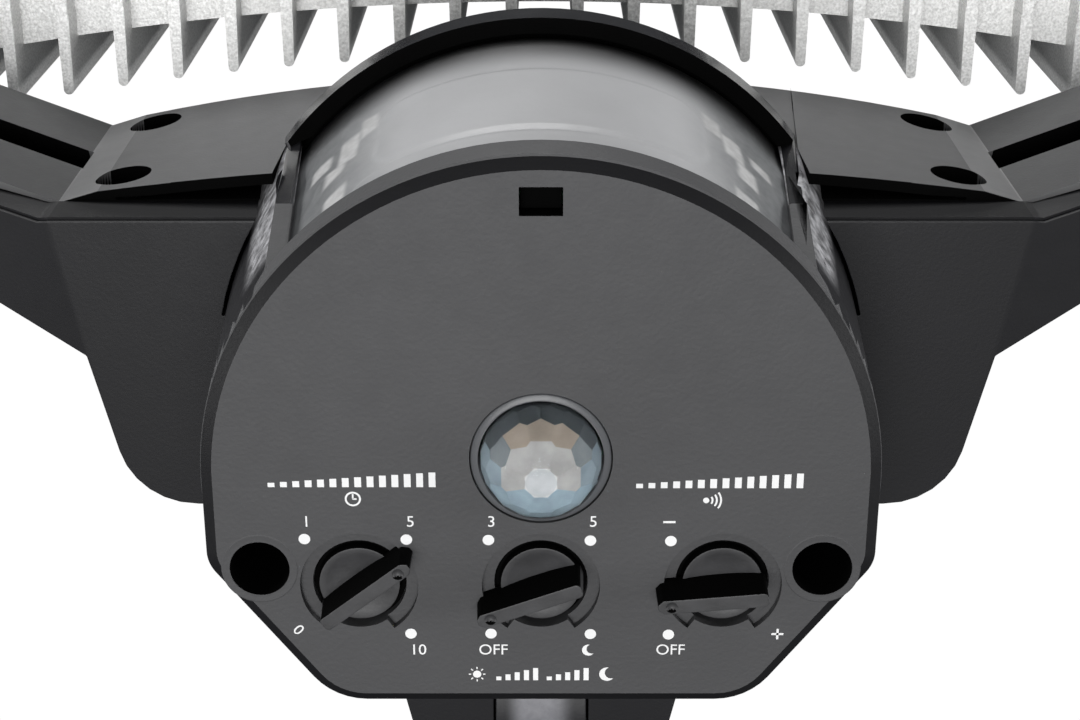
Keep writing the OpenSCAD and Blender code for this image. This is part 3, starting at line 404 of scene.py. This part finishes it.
# %% Finishes on the CAD nodes
slot_of = {part["node"]: part["material_slot"] for part in frame["record"]["subparts"]}
body_of = {name: body for body, names in frame["record"]["behaviour"]["bodies"].items()
           for name in names}
for name, node in nodes.items():
    node.data.materials.clear()
    node.data.materials.append(finishes[slot_of[name]])
finish("pale_floor", (0.8, 0.8, 0.79), 0.6, mottle=0.02, cloud=2, grain=80, relief=0.02)
floor.data.materials.append(finishes["pale_floor"])
print("nodes with a finish:", len(nodes))

# %% [markdown]
# ## Mouldings and castings
#
# A solid model has edges as sharp as a razor, but a mould or a die cannot make one: every real
# edge is a small round that catches a line of light. So each large moulding is copied, its loose
# triangles are merged, its flat areas joined, and its sharp edges get a narrow bevel. The copy
# then stands for the CAD node, which stays behind for the collisions, hidden.

# %% Copies with rounded edges
def pick(piece, chosen, kind="EDGE"):
    """Selects the edges or faces of a piece whose middle passes a test, and stays in edit mode."""
    only(piece)
    bpy.ops.object.mode_set(mode="EDIT")
    bpy.ops.mesh.select_mode(type=kind)
    bpy.ops.mesh.select_all(action="DESELECT")
    bpy.ops.object.mode_set(mode="OBJECT")
    mesh = piece.data
    if kind == "FACE":
        for face in mesh.polygons:
            face.select = chosen(face.center / MM, face.normal)
    else:
        for edge in mesh.edges:
            a, b = (mesh.vertices[i].co / MM for i in edge.vertices)
            edge.select = chosen(a, b)
    bpy.ops.object.mode_set(mode="EDIT")


def moulded(node, name, width, wide=None):
    """A copy of a CAD node with merged faces and rounded edges, which stands for it.

    The edges that the test `wide` chooses get a rounder bevel first.
    """
    only(nodes[node])
    bpy.ops.object.duplicate()
    piece = bpy.context.object
    piece.name = name
    piece.parent = None
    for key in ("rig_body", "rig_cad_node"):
        del piece[key]
    bpy.ops.mesh.customdata_custom_splitnormals_clear()
    bpy.ops.object.mode_set(mode="EDIT")
    bpy.ops.mesh.select_all(action="SELECT")
    bpy.ops.mesh.remove_doubles(threshold=2e-6)
    bpy.ops.mesh.dissolve_limited(angle_limit=math.radians(0.8))
    bpy.ops.object.mode_set(mode="OBJECT")
    if wide:
        pick(piece, wide)
        bpy.ops.mesh.bevel(offset=0.9 * MM, segments=3, affect="EDGES")
        bpy.ops.object.mode_set(mode="OBJECT")
    rounded(piece, width, 30)
    return fitted(piece, body_of[node], slot_of[node], node)


# The pod is a round one, wider and further to the front with each millimetre of height, and the
# front of its two pillars is flat.
POD_RADIUS, PILLAR_FRONT = 44, 27.46
FLARE, FRONT_LEAN = 0.0457, 0.0647


def on_pillar(*ranges):
    """A test for front corners of the window's two pillars, by their distance from the outside."""
    def chosen(a, b):
        for end in (a, b):
            x, y, z = end - AXIS / MM
            inset = POD_RADIUS + FLARE * z - math.hypot(x, y + FRONT_LEAN * z)
            if abs(y + PILLAR_FRONT + FRONT_LEAN * z) > 0.3:
                return False
            if not any(low < inset < high for low, high in ranges):
                return False
        return abs(a.z - b.z) > 2
    return chosen


panel = moulded("sensor_base", "sensor_panel", 0.2, wide=on_pillar((1.8, 2.8)))
hood = moulded("sensor_shell", "sensor_hood", 0.25, wide=on_pillar((1.8, 2.8), (-0.5, 0.5)))
cover = moulded("front_cover", "cover_moulding", 0.4)
housing = moulded("rear_housing", "housing_moulding", 0.5)
sink = moulded("heat_sink", "sink_casting", 0.5)
seal = moulded("housing_gasket", "housing_seal", 0.2)
canopy = moulded("wall_canopy", "canopy_moulding", 0.6)
bezel = moulded("lamp_bezel", "bezel_moulding", 0.6)
for piece in (panel, hood, cover, housing, sink, seal, canopy, bezel):
    print(piece.name, "faces:", len(piece.data.polygons))

# %% [markdown]
# ## Slopes
#
# Two slopes are slight but show well in the picture. The wings' undersides rise from the tub
# outwards, and the lower edge of the cover's front stands back in the middle. Each is one
# displacement along an axis, weighted by the place of every point. Cuts along the crease come
# first, so that the slope starts and ends there.

# %% Slopes of the wings and the cover
def shifted(piece, axis, amount, weight):
    """Moves the points of a piece along an axis, each by its own share of an amount."""
    group = piece.vertex_groups.new(name="shift")
    for vertex in piece.data.vertices:
        share = weight(*((vertex.co - AXIS) / MM))
        if share > 0:
            group.add([vertex.index], share, "REPLACE")
    worked(piece, "DISPLACE", direction=axis, strength=amount * MM, mid_level=0,
           vertex_group="shift")
    piece.vertex_groups.clear()


CREASE_X, CREASE_Y, CREASE_SLANT = 64.2, -5, 0.19
RISE_OVER = 15
COVER_HALF, COVER_FOOT, COVER_TALL = 63, 37.3, 38.7
FRONT_Y, FRONT_RADIUS = 34.1, 300
WING_X, WING_Y, WING_SWEEP = 68, 25.8, 0.384


def wing_rise(x, y, z):
    """The share of the rise: none at the crease between tub and wing, all of it further out."""
    outside = abs(x) - CREASE_X + (y - CREASE_Y) * CREASE_SLANT
    return max(0, min(1, outside / RISE_OVER)) if z < 35.5 else 0


def depth_behind_front(x, y):
    """How far a place lies behind the front of the cover or of its wing."""
    x = abs(x)
    if x < 62.5:
        return y + FRONT_Y - FRONT_RADIUS + math.sqrt(FRONT_RADIUS ** 2 - x ** 2)
    return y + WING_Y + max(0, x - WING_X) * WING_SWEEP


def cover_lean(x, y, z):
    """The share of the lean: all of it at the lower edge's middle, none at the ends and on top."""
    if abs(x) > COVER_HALF or not 37 < z <= 76 or not -1 < depth_behind_front(x, y) < 2.2:
        return 0
    return (1 - (x / COVER_HALF) ** 2) * (1 - (z - COVER_FOOT) / COVER_TALL)


for piece in (housing, cover, seal):
    only(piece)
    bpy.ops.object.mode_set(mode="EDIT")
    for side in (-1, 1):
        for step in (-0.6, 0, 0.6, RISE_OVER):
            bpy.ops.mesh.select_all(action="SELECT")
            bpy.ops.mesh.bisect(plane_co=at(side * (CREASE_X + step), CREASE_Y),
                                plane_no=(side, CREASE_SLANT, 0))
    bpy.ops.object.mode_set(mode="OBJECT")
    shifted(piece, "Z", 3.0, wing_rise)
shifted(cover, "Y", 2.5, cover_lean)
for piece in (housing, cover, seal):
    smoothed(piece)
print("sloped:", housing.name, cover.name, seal.name)

# %% [markdown]
# ## Second colours on one moulding
#
# The chamfer round the panel and the deep groove behind the cover's front edge read almost black
# on the real light: they face away from every lamp. Painted shade on just those faces keeps that
# contrast, and so does painted shade in the screw wells, the notch of the light sensor, under the
# cap, in the wings' slots and in the screw recesses. The lip under the ledge gets painted shade
# over its dark plastic, the bevels beside the wings a painted highlight, the shell's sides a
# painted reflection and the neck a painted highlight streak, while the wings get a finish of their
# own. Faces are chosen by where they are and which way they look.

# %% Faces with a second finish
def painted(piece, coat, chosen):
    """Gives a second finish to the faces that a test on middle and normal chooses."""
    piece.data.materials.append(coat)
    last = len(piece.data.materials) - 1
    count = 0
    for face in piece.data.polygons:
        x, y, z = (face.center - AXIS) / MM
        if chosen(x, y, z, face.normal):
            face.material_index = last
            count += 1
    return count


finish("shadow_black", (0.002, 0.002, 0.002), 0.9, mottle=0.05, ior=1.1)
# The lip's dark plastic, darker still as painted shade under the ledge.
finish("lip_plastic_and_shade", (0.006, 0.006, 0.007), 0.55, mottle=0.08, ior=1.25)
# The cover's plastic made lighter as a painted highlight on the bevels beside the wings.
finish("bevel_plastic_and_highlight", (0.2, 0.2, 0.202), 0.45, mottle=0.08)
finish("wing_plastic", (0.035, 0.035, 0.037), 0.5, mottle=0.08)
# Painted shade: a near black for the chamfer round the panel.
finish("chamfer_shade_black", (0.006, 0.006, 0.007), 0.5, mottle=0.05, ior=1.25)


WELL_X, WELL_Y = 37, 12.3
LIP_TOP = 37.2


def on_chamfer(x, y, z, normal):
    return 0.1 < z < 0.9 and -0.97 < normal.z < -0.2 and (math.hypot(x, y) > 40 or y > 25)


def in_well(x, y, z, normal):
    return z > 0.15 and math.hypot(abs(x) - WELL_X, y - WELL_Y) < 4.1


def on_lip(x, y, z, normal):
    return z < LIP_TOP and abs(x) < WING_X


def on_wing_lip(x, y, z, normal):
    return z < LIP_TOP and abs(x) > WING_X


def on_wing(x, y, z, normal):
    return abs(x) > WING_X + 0.2 and z > LIP_TOP and normal.y < -0.5


def in_ledge(x, y, z, normal):
    return 36 < z < 43.6 and depth_behind_front(x, y) > 0.9


def in_slot(x, y, z, normal):
    return 52.9 < z < 61.1 and abs(x) > 69 and 0.3 < depth_behind_front(x, y) < 4.6


def in_recess(x, y, z, normal):
    reach = min(math.hypot(abs(x) - 60, z - level) for level in (43.5, 69.8))
    return reach < 4.2 and depth_behind_front(x, y) > 0.4


def under_cap(x, y, z, normal):
    outward = (normal.x * x + normal.y * y) > 0.5 * math.hypot(x, y)
    return z > 44 and not outward and (normal.z < -0.5 or y < -24)


def on_side(x, y, z, normal):
    return (abs(x) > 33.5 and y + FRONT_LEAN * z > -27.4 and z < 51.5
            and math.hypot(x, y) > 43)


def on_bevel(x, y, z, normal):
    return 62.3 < abs(x) < 68.3 and z > 43.4 and normal.y < -0.5


def on_tongue(x, y, z, normal):
    return abs(x) < 7.4 and y > 15


def in_notch(x, y, z, normal):
    return abs(x) < 2.9 and -40.6 < y < -36.4 and z > 0.2


# Painted shade on the chamfer round the panel.
print("chamfer faces:", painted(panel, finishes["chamfer_shade_black"], on_chamfer))
# Painted shade in the screw wells and the notch of the light sensor.
print("well faces:", painted(panel, finishes["shadow_black"], in_well))
print("notch faces:", painted(panel, finishes["shadow_black"], in_notch))
# Painted reflection with a faint glow on the shell's sides, on hood and panel.
print("side faces:", painted(hood, finishes["side_black_and_reflection"], on_side),
      painted(panel, finishes["side_black_and_reflection"], lambda x, y, z, n: on_side(x, y, z, n) and z > 5))
# Painted shade on the underside of the cap and the upper ends of the pillars.
print("cap faces:", painted(hood, finishes["shadow_black"], under_cap))
# Painted highlight streak on the tongue of the canopy.
print("tongue faces:", painted(canopy, finishes["neck_plastic_and_highlight"], on_tongue))
# Painted shade on the lip under the cover's ledge.
print("lip faces:", painted(cover, finishes["lip_plastic_and_shade"], on_lip))
print("wing faces:", painted(cover, finishes["body_plastic"], on_wing_lip),
      painted(cover, finishes["wing_plastic"], on_wing))
# Painted highlight on the bevels beside the wings.
print("bevel faces:", painted(cover, finishes["bevel_plastic_and_highlight"], on_bevel))
# Painted shade in the groove behind the cover's front edge, the wings' slots and the screw
# recesses.
for region in (in_ledge, in_slot, in_recess):
    print(region.__name__, "faces:", painted(cover, finishes["shadow_black"], region))

# %% [markdown]
# ## Round parts
#
# Dials, lens rings and bolt heads are turned parts. A turned part is easiest as on a lathe: the
# half outline is drawn as a chain of points, and the spin operator sweeps it round the axis.
# After the doubles are merged, the pole and the seam are closed.

# %% A lathe
def turned(name, outline, sides=72):
    """A round piece round the Z axis, from a half outline of (radius, height) in millimetres."""
    bpy.ops.object.select_all(action="DESELECT")
    bpy.ops.mesh.primitive_plane_add(size=MM)
    piece = bpy.context.object
    piece.name = name
    bpy.ops.object.mode_set(mode="EDIT")
    bpy.ops.mesh.select_mode(type="VERT")
    bpy.ops.mesh.select_all(action="SELECT")
    bpy.ops.mesh.merge(type="CENTER")
    here = Vector((0, 0, 0))
    for index, (radius, height) in enumerate(outline):
        step = Vector((radius, 0, height)) * MM - here
        if index == 0:
            bpy.ops.transform.translate(value=step)
        else:
            bpy.ops.mesh.extrude_vertices_move(TRANSFORM_OT_translate={"value": step})
        here += step
    bpy.ops.mesh.select_all(action="SELECT")
    bpy.ops.mesh.spin(steps=sides, angle=2 * math.pi, center=(0, 0, 0), axis=(0, 0, 1))
    bpy.ops.mesh.select_all(action="SELECT")
    bpy.ops.mesh.remove_doubles(threshold=2e-6)
    bpy.ops.mesh.normals_make_consistent(inside=False)
    bpy.ops.object.mode_set(mode="OBJECT")
    return piece


def block(name, low, high):
    """A box between two corners, in millimetres."""
    low, high = Vector(low) * MM, Vector(high) * MM
    bpy.ops.object.select_all(action="DESELECT")
    bpy.ops.mesh.primitive_cube_add(size=1, location=(low + high) / 2, scale=high - low)
    piece = bpy.context.object
    piece.name = name
    return settle(piece)


def moved_to(piece, x, y, z=0.0, turn=0.0):
    """Turns a piece about the vertical axis and puts it at a place near the sensor."""
    piece.rotation_euler = (0, 0, math.radians(turn))
    piece.location = at(x, y, z)
    return settle(piece)


def own_copy(piece, name):
    """A copy of a piece with a mesh of its own."""
    only(piece)
    bpy.ops.object.duplicate()
    bpy.context.object.name = name
    return bpy.context.object


# %% [markdown]
# ## The three dials
#
# Each dial is a disc sunk in the panel, slightly dished, with a step round it in painted shade. A
# straight grip stands across it, pointed at the end that shows the setting, with a small round
# dimple there, and its sides that face the front are in painted shade too. One dial is modelled
# and copied twice, and each copy is turned to its own setting.

# %% One dial
DIAL_Y = 14.9
disc = turned("dial_disc", [(0, 1.25), (1.5, 1.2), (3, 1.05), (4.3, 0.85), (5.1, 0.62),
                            (5.3, 0.66), (5.42, 0.9), (5.5, 2.1), (6.05, 2.15), (6.12, 2.3),
                            (6.12, 2.8), (7.35, 2.8), (7.35, 3.8), (2, 3.8), (2, 9.2), (0, 9.2)])
grip = block("dial_grip", (-1.2, -8.9, -4.6), (1.2, 5.75, 1.3))
pick(grip, lambda a, b: abs(a.z - b.z) > 1 and a.y < -8)
bpy.ops.mesh.bevel(offset=0.75 * MM, segments=1, affect="EDGES")
bpy.ops.object.mode_set(mode="OBJECT")
pick(grip, lambda a, b: abs(a.z - b.z) > 1 and a.y > 5)
bpy.ops.mesh.bevel(offset=0.6 * MM, segments=2, affect="EDGES")
bpy.ops.object.mode_set(mode="OBJECT")
pick(grip, lambda middle, normal: normal.z < -0.9, "FACE")
bpy.ops.transform.resize(value=(0.84, 0.985, 1), center_override=(0, -1.57 * MM, -4.6 * MM))
bpy.ops.object.mode_set(mode="OBJECT")
worked(grip, "BEVEL", width=0.16 * MM, segments=2, limit_method="ANGLE",
       angle_limit=math.radians(40))
bpy.ops.object.select_all(action="DESELECT")
bpy.ops.mesh.primitive_uv_sphere_add(segments=32, ring_count=16, radius=0.95 * MM,
                                     location=Vector((0, -7.0, -5.1)) * MM)
dimple = bpy.context.object
worked(grip, "BOOLEAN", operation="DIFFERENCE", object=dimple, solver="EXACT")
bpy.data.objects.remove(dimple)
lug = block("dial_lug", (-1.0, -7.4, 0.3), (1.0, -5.9, 0.88))
dial_kit = joined([disc, grip, lug], "dial_kit")
smoothed(dial_kit, 35)

# %% Three dials, each at its own setting
for name, x, turn in (("timer", -24, 52), ("mode", 0, -110), ("range", 24, -95)):
    dial = moved_to(own_copy(dial_kit, name + "_dial_turned"), x, DIAL_Y, 0, turn)
    dial.data.materials.clear()
    dial.data.materials.append(finishes["dial_black"])

    # Painted shade on the grip's sides that face the front and in the step round the disc.
    def in_shade(px, py, pz, normal):
        reach = math.hypot(px - x, py - DIAL_Y)
        return (pz < 0.5 and normal.y < -0.45) or (pz > 0.68 and 5.2 < reach < 6.6)

    painted(dial, finishes["shadow_black"], in_shade)
    fitted(dial, name, "dial_black", name + "_dial")
bpy.data.objects.remove(dial_kit)

# %% [markdown]
# ## The lens that looks down
#
# A small dome in the middle of the panel watches the ground right below. A smooth clear skin
# covers a block of flat facets, and each facet is a little lens that looks its own way. The block
# is cut as a gem is: from a plain cylinder, one flat cut after the other, at the same distance
# from the middle. Each facet gets a tone by the way it faces: milky at the tip, warm and amber
# towards the front, pale blue as a painted reflection where it faces the rear, dark grey as
# painted shade on the outer facets that face the front, and misty grey on the rest.

# %% Facets of the down lens
LENS_Y = -3.7
LENS = at(0, LENS_Y, 0.95)
bpy.ops.object.select_all(action="DESELECT")
bpy.ops.mesh.primitive_cylinder_add(vertices=48, radius=9 * MM, depth=9 * MM,
                                    location=LENS - Vector((0, 0, 4.5)) * MM)
gem = settle(bpy.context.object)
gem.name = "lens_facets"
bpy.ops.object.mode_set(mode="EDIT")
cuts = [(0, 0)]
for tip, count, shift in ((29, 8, 0), (50, 12, 0), (70, 16, 0.5), (88, 20, 0)):
    cuts += [(tip, 360 * (i + shift) / count) for i in range(count)]
for tip, round_by in cuts:
    tip, round_by = math.radians(tip), math.radians(round_by)
    outward = Vector((math.sin(tip) * math.sin(round_by), -math.sin(tip) * math.cos(round_by),
                      -math.cos(tip)))
    bpy.ops.mesh.select_all(action="SELECT")
    bpy.ops.mesh.bisect(plane_co=LENS + outward * 7.75 * MM, plane_no=outward, use_fill=True,
                        clear_outer=True)
bpy.ops.object.mode_set(mode="OBJECT")
facet_tones = {"facet_mist": (0.3, 0.34, 0.37), "facet_milk": (0.62, 0.59, 0.58),
               "facet_warm": (0.47, 0.425, 0.4), "facet_amber": (0.4, 0.31, 0.25),
               "facet_ice": (0.36, 0.43, 0.475), "facet_smoke": (0.1, 0.105, 0.11)}
gem.data.materials.clear()
for name, tone in facet_tones.items():
    finish(name, tone, 0.35, mottle=0.16, cloud=350)
    gem.data.materials.append(finishes[name])
MIST, MILK, WARM, AMBER, PALE_REFLECTION, SHADE = range(6)
# Tones by the way a facet faces: the pale blue facets that face the rear are a painted reflection,
# and the dark outer facets that face the front are painted shade.
for face in gem.data.polygons:
    tip = math.degrees(math.acos(max(-1, min(1, -face.normal.z))))
    front = -face.normal.y / max(0.01, math.hypot(face.normal.x, face.normal.y))
    if tip < 10:
        face.material_index = MILK
    elif tip < 40:
        face.material_index = WARM if front > -0.2 else PALE_REFLECTION
    elif tip < 60 and front > 0.8:
        face.material_index = AMBER
    elif front > 0.3:
        face.material_index = SHADE
    elif front < -0.3 and tip < 78:
        face.material_index = PALE_REFLECTION
worked(gem, "BEVEL", width=0.13 * MM, segments=2, limit_method="ANGLE",
       angle_limit=math.radians(8))
smoothed(gem, 30)
fitted(gem, "body", "facet_lens")
print("facets:", len(cuts))

# %% Clear skin over the facets
skin = turned("lens_skin", [(0, -7.2), (0.8, -7.16), (1.6, -7.04), (2.4, -6.84), (3.2, -6.55),
                            (4, -6.15), (4.8, -5.63), (5.6, -4.97), (6.3, -4.22), (7, -3.23),
                            (7.5, -2.25), (7.85, -1.25), (8.05, -0.4), (8.12, 0.05), (8.3, 0.12),
                            (8.95, 0.1), (9.12, 0.3), (9.15, 1.2), (8.6, 1.2), (8.5, 0.7),
                            (8.1, 0.55), (7.95, -0.1), (7.75, -1.1), (7.4, -2.1), (6.9, -3.1),
                            (6.2, -4.1), (5.5, -4.85), (4.7, -5.5), (3.9, -6.02), (3.1, -6.42),
                            (2.3, -6.71), (1.5, -6.91), (0.8, -7.03), (0, -7.07)], sides=96)
moved_to(skin, 0, LENS_Y)
smoothed(skin, 60)
finish("clear_skin", (0.8, 0.84, 0.86), 0.06, mottle=0.02, rough_wander=0.03, relief=0.0,
       ior=1.06, transmission=1.0)
skin.data.materials.clear()
skin.data.materials.append(finishes["clear_skin"])
finish("clear_flange", (0.085, 0.088, 0.094), 0.35, mottle=0.1, cloud=120)
flange = painted(skin, finishes["clear_flange"],
                 lambda x, y, z, n: math.hypot(x, y - LENS_Y) > 8.1)
fitted(skin, "body", "facet_lens", "down_lens")
print("flange faces:", flange)

# %% [markdown]
# ## The window lens
#
# The wide lens behind the window is one thin bent sheet of milky plastic. Rows of fine lenses are
# pressed into it, which stand a little proud, and near both ends the sheet is not quite even, so
# that reflections there look crumpled. The sheet is a short sweep of a straight, slightly leaning
# line. Two displacements, weighted by where a point is, raise the rows and ripple the ends.

# %% Window lens
LEAN = math.radians(3.7)
LOW, HIGH, ROWS = 3.2, 51.0, 96
bpy.ops.object.select_all(action="DESELECT")
bpy.ops.mesh.primitive_plane_add(size=MM)
sheet = bpy.context.object
sheet.name = "window_lens"
bpy.ops.object.mode_set(mode="EDIT")
bpy.ops.mesh.select_mode(type="VERT")
bpy.ops.mesh.select_all(action="SELECT")
bpy.ops.mesh.merge(type="CENTER")


def sheet_radius(height):
    """The sheet widens by 2.4 mm over the 52.5 mm of the pod's height."""
    return 41.15 + 2.4 * height / 52.5


bpy.ops.transform.translate(value=Vector((0, -sheet_radius(LOW), LOW)) * MM)
rise = (HIGH - LOW) / ROWS
for row in range(ROWS):
    bpy.ops.mesh.extrude_vertices_move(TRANSFORM_OT_translate={
        "value": Vector((0, sheet_radius(0) - sheet_radius(rise), rise)) * MM})
bpy.ops.mesh.select_all(action="SELECT")
bpy.ops.mesh.spin(steps=85, angle=math.radians(56.5), center=(0, 0, 0), axis=(0, 0, 1))
bpy.ops.object.mode_set(mode="OBJECT")
worked(sheet, "MIRROR", use_axis=(True, False, False), merge_threshold=2e-6)
bpy.ops.object.mode_set(mode="EDIT")
bpy.ops.mesh.select_all(action="SELECT")
bpy.ops.mesh.remove_doubles(threshold=2e-6)
bpy.ops.mesh.normals_make_consistent(inside=False)
bpy.ops.object.mode_set(mode="OBJECT")
outer = sum(1 for face in sheet.data.polygons if face.normal.dot(face.center) > 0)
if outer < len(sheet.data.polygons) / 2:
    bpy.ops.object.mode_set(mode="EDIT")
    bpy.ops.mesh.flip_normals()
    bpy.ops.object.mode_set(mode="OBJECT")


def soft_step(value):
    """Goes from 0 to 1 without a corner at either end."""
    value = max(0.0, min(1.0, value))
    return value * value * (3 - 2 * value)


def row_weight(turn, height, half, low, high):
    """Is 1 inside a field with rounded corners and 0 outside it, with a soft edge."""
    corner = 5.0
    side = (abs(turn) - half) * 0.75 + corner
    level = abs(height - (low + high) / 2) - (high - low) / 2 + corner
    gap = math.hypot(max(side, 0), max(level, 0)) + min(max(side, level), 0) - corner
    return soft_step(0.5 - gap / 0.9)


rows = sheet.vertex_groups.new(name="rows")
ends = sheet.vertex_groups.new(name="ends")
for vertex in sheet.data.vertices:
    x, y, z = vertex.co / MM
    turn = math.degrees(math.atan2(x, -y))
    raised = max(row_weight(turn, z, 31, 18.6, 38.8), row_weight(turn, z, 36, -4, 17.6))
    rows.add([vertex.index], raised, "REPLACE")
    crumpled = soft_step((abs(turn) - 26) / 12) * soft_step((47 - z) / 10)
    ends.add([vertex.index], crumpled, "REPLACE")
crumple = bpy.data.textures.new("crumple", "CLOUDS")
crumple.noise_scale = 0.011
crumple.noise_depth = 1
worked(sheet, "DISPLACE", strength=0.35 * MM, mid_level=0, vertex_group="rows")
worked(sheet, "DISPLACE", strength=1.5 * MM, mid_level=0.5, vertex_group="ends",
       texture=crumple, texture_coords="LOCAL")
worked(sheet, "SOLIDIFY", thickness=0.9 * MM, offset=-1)
sheet.rotation_euler = (LEAN, 0, 0)
sheet.location = AXIS
settle(sheet)
bpy.ops.object.shade_smooth()
sheet.data.materials.clear()
sheet.data.materials.append(finishes["frosted_lens"])
fitted(sheet, "body", "frosted_lens", "fresnel_lens")
print("window lens faces:", len(sheet.data.polygons))

# %% [markdown]
# ## Small parts on the panel
#
# A fine raised ring runs round each of the two deep screw wells, and a small pane in painted shade
# closes the opening in front of the light sensor. The rings are turned, and the pane is a rounded
# plate.

# %% Rings round the wells, and the pane of the light sensor
rings = []
for side in (-1, 1):
    ring = turned("well_ring", [(4.0, 0.02), (4.6, -0.03), (4.9, -0.05), (5.05, 0.0), (5.05, 0.1),
                                (4.0, 0.1), (4.0, 0.02)])
    rings.append(moved_to(ring, side * WELL_X, WELL_Y))
well_rings = smoothed(joined(rings, "well_rings"), 20)
well_rings.data.materials.clear()
well_rings.data.materials.append(finishes["panel_plastic"])
fitted(well_rings, "body", "panel_plastic")
# A dark pane in painted shade over the notch of the light sensor.
pane = block("cell_shade_pane", (-2.55, -1.7, 0), (2.55, 1.7, 0.5))
moved_to(pane, 0, -38.5, 2.55)
rounded(pane, 0.12)
pane.data.materials.clear()
pane.data.materials.append(finishes["shadow_black"])
fitted(pane, "body", "gloss_black")
print("rings:", len(rings), "pane faces:", len(pane.data.polygons))

# %% [markdown]
# ## Printing on the panel
#
# The settings are printed in white, a few hundredths of a millimetre thick. Only plain numbers, a
# plain OFF and simple signs are used: a minus and a plus, rising bars for more, a clock, waves, a
# sun and a moon. The text objects become meshes before they are turned over and laid on the panel,
# because the panel faces down.

# %% Numbers, dots and signs
INK = 0.03
LETTER_SIZE = 2.25
finish("print_white", (0.86, 0.86, 0.86), 0.55, mottle=0.03)
prints = []


def lay(piece, x, y, turn=0.0):
    """Lays a flat print, drawn face up, on the panel that faces down."""
    piece.rotation_euler = (math.pi, 0, math.radians(turn))
    piece.location = at(x, y, -0.01)
    prints.append(settle(piece))


def lettered(words, x, y, turn=0.0):
    """Prints words or a number with their middle at a place."""
    bpy.ops.object.select_all(action="DESELECT")
    bpy.ops.object.text_add()
    text = bpy.context.object
    text.data.body = words
    text.data.size = LETTER_SIZE * MM
    text.data.align_x = "CENTER"
    text.data.align_y = "CENTER"
    text.data.extrude = INK * MM / 2
    bpy.ops.object.convert(target="MESH")
    lay(bpy.context.object, x, y, turn)


def dash(x, y, width, height, turn=0.0):
    """A printed bar."""
    piece = block("dash", (-width / 2, -height / 2, -INK / 2), (width / 2, height / 2, INK / 2))
    lay(piece, x, y, turn)


def dot(x, y, radius, inner=0.0, part=None):
    """A printed dot, or a ring, or the part of a ring on one side of a line."""
    outline = [(inner, -INK / 2), (radius, -INK / 2), (radius, INK / 2), (inner, INK / 2)]
    piece = turned("dot", outline + outline[:1] if inner else outline, sides=40)
    if part:
        only(piece)
        bpy.ops.object.mode_set(mode="EDIT")
        for normal in part:
            bpy.ops.mesh.select_all(action="SELECT")
            bpy.ops.mesh.bisect(plane_co=(0, 0, 0), plane_no=normal, use_fill=True,
                                clear_inner=True)
        bpy.ops.object.mode_set(mode="OBJECT")
    lay(piece, x, y)


for words, x, y in (("1", -30.54, 5.37), ("5", -17.0, 5.37), ("10", -16.43, 24.7),
                    ("3", -6.46, 5.37), ("5", 6.82, 5.37), ("OFF", -6.38, 24.7),
                    ("OFF", 17.34, 24.7)):
    lettered(words, x, y)
lettered("0", -32.36, 21.61, turn=45)
for x, y in ((-30.91, 7.87), (-17.59, 7.95), (-17.35, 22.15), (-6.87, 8.02), (6.46, 8.1),
             (-6.67, 22.15), (6.59, 22.22), (16.98, 8.17), (17.01, 22.3)):
    dot(x, y, 0.76)
dash(16.71, 5.37, 1.6, 0.3)
dash(31.56, 22.22, 1.6, 0.3)
dash(31.56, 22.22, 0.3, 1.6)
print("prints so far:", len(prints))


# %% Signs: rising bars, a clock, waves, a sun and moons
def ramp(x, y, width, height, count):
    """A row of bars that rise from left to right, the common sign for more."""
    pitch = width / count
    for i in range(count):
        tall = height * (0.3 + 0.7 * i / (count - 1))
        dash(x - width / 2 + pitch * (i + 0.5), y + (height - tall) / 2, 0.55 * pitch, tall)


def sun(x, y, radius):
    """A dot with eight rays."""
    dot(x, y, radius)
    for i in range(8):
        way = math.radians(45 * i)
        dash(x + 1.75 * radius * math.cos(way), y - 1.75 * radius * math.sin(way),
             0.6 * radius, 0.3 * radius, -45 * i)


def moon(x, y, radius):
    """A disc with a round bite out of it."""
    disc = turned("moon", [(0, -INK / 2), (radius, -INK / 2), (radius, INK / 2), (0, INK / 2)],
                  sides=40)
    bite = turned("bite", [(0, -1), (radius * 0.85, -1), (radius * 0.85, 1), (0, 1)], sides=40)
    bite.location = Vector((0.55 * radius, 0.2 * radius, 0)) * MM
    worked(disc, "BOOLEAN", operation="DIFFERENCE", object=bite, solver="EXACT")
    bpy.data.objects.remove(bite)
    lay(disc, x, y)


ramp(-24.45, -0.77, 22.4, 2.1, 14)
dot(-24.36, 2.0, 1.05, 0.8)
dash(-24.36, 1.65, 0.22, 0.7)
dash(-24.15, 2.0, 0.55, 0.22)
ramp(23.08, -0.62, 22.3, 2.1, 14)
dot(21.4, 2.2, 0.4)
for radius in (0.95, 1.5, 2.05):
    dot(21.4, 2.2, radius, radius - 0.24, part=((0.6, 0.8, 0), (0.6, -0.8, 0)))
sun(-8.6, 28.46, 0.55)
ramp(-3.2, 28.46, 6.2, 1.9, 5)
ramp(3.6, 28.46, 6.2, 1.9, 5)
moon(8.9, 28.46, 1.05)
moon(6.35, 24.7, 0.85)
ink = joined(prints, "panel_print")
ink.data.materials.clear()
ink.data.materials.append(finishes["print_white"])
fitted(ink, "body", "panel_plastic")
print("print faces:", len(ink.data.polygons))
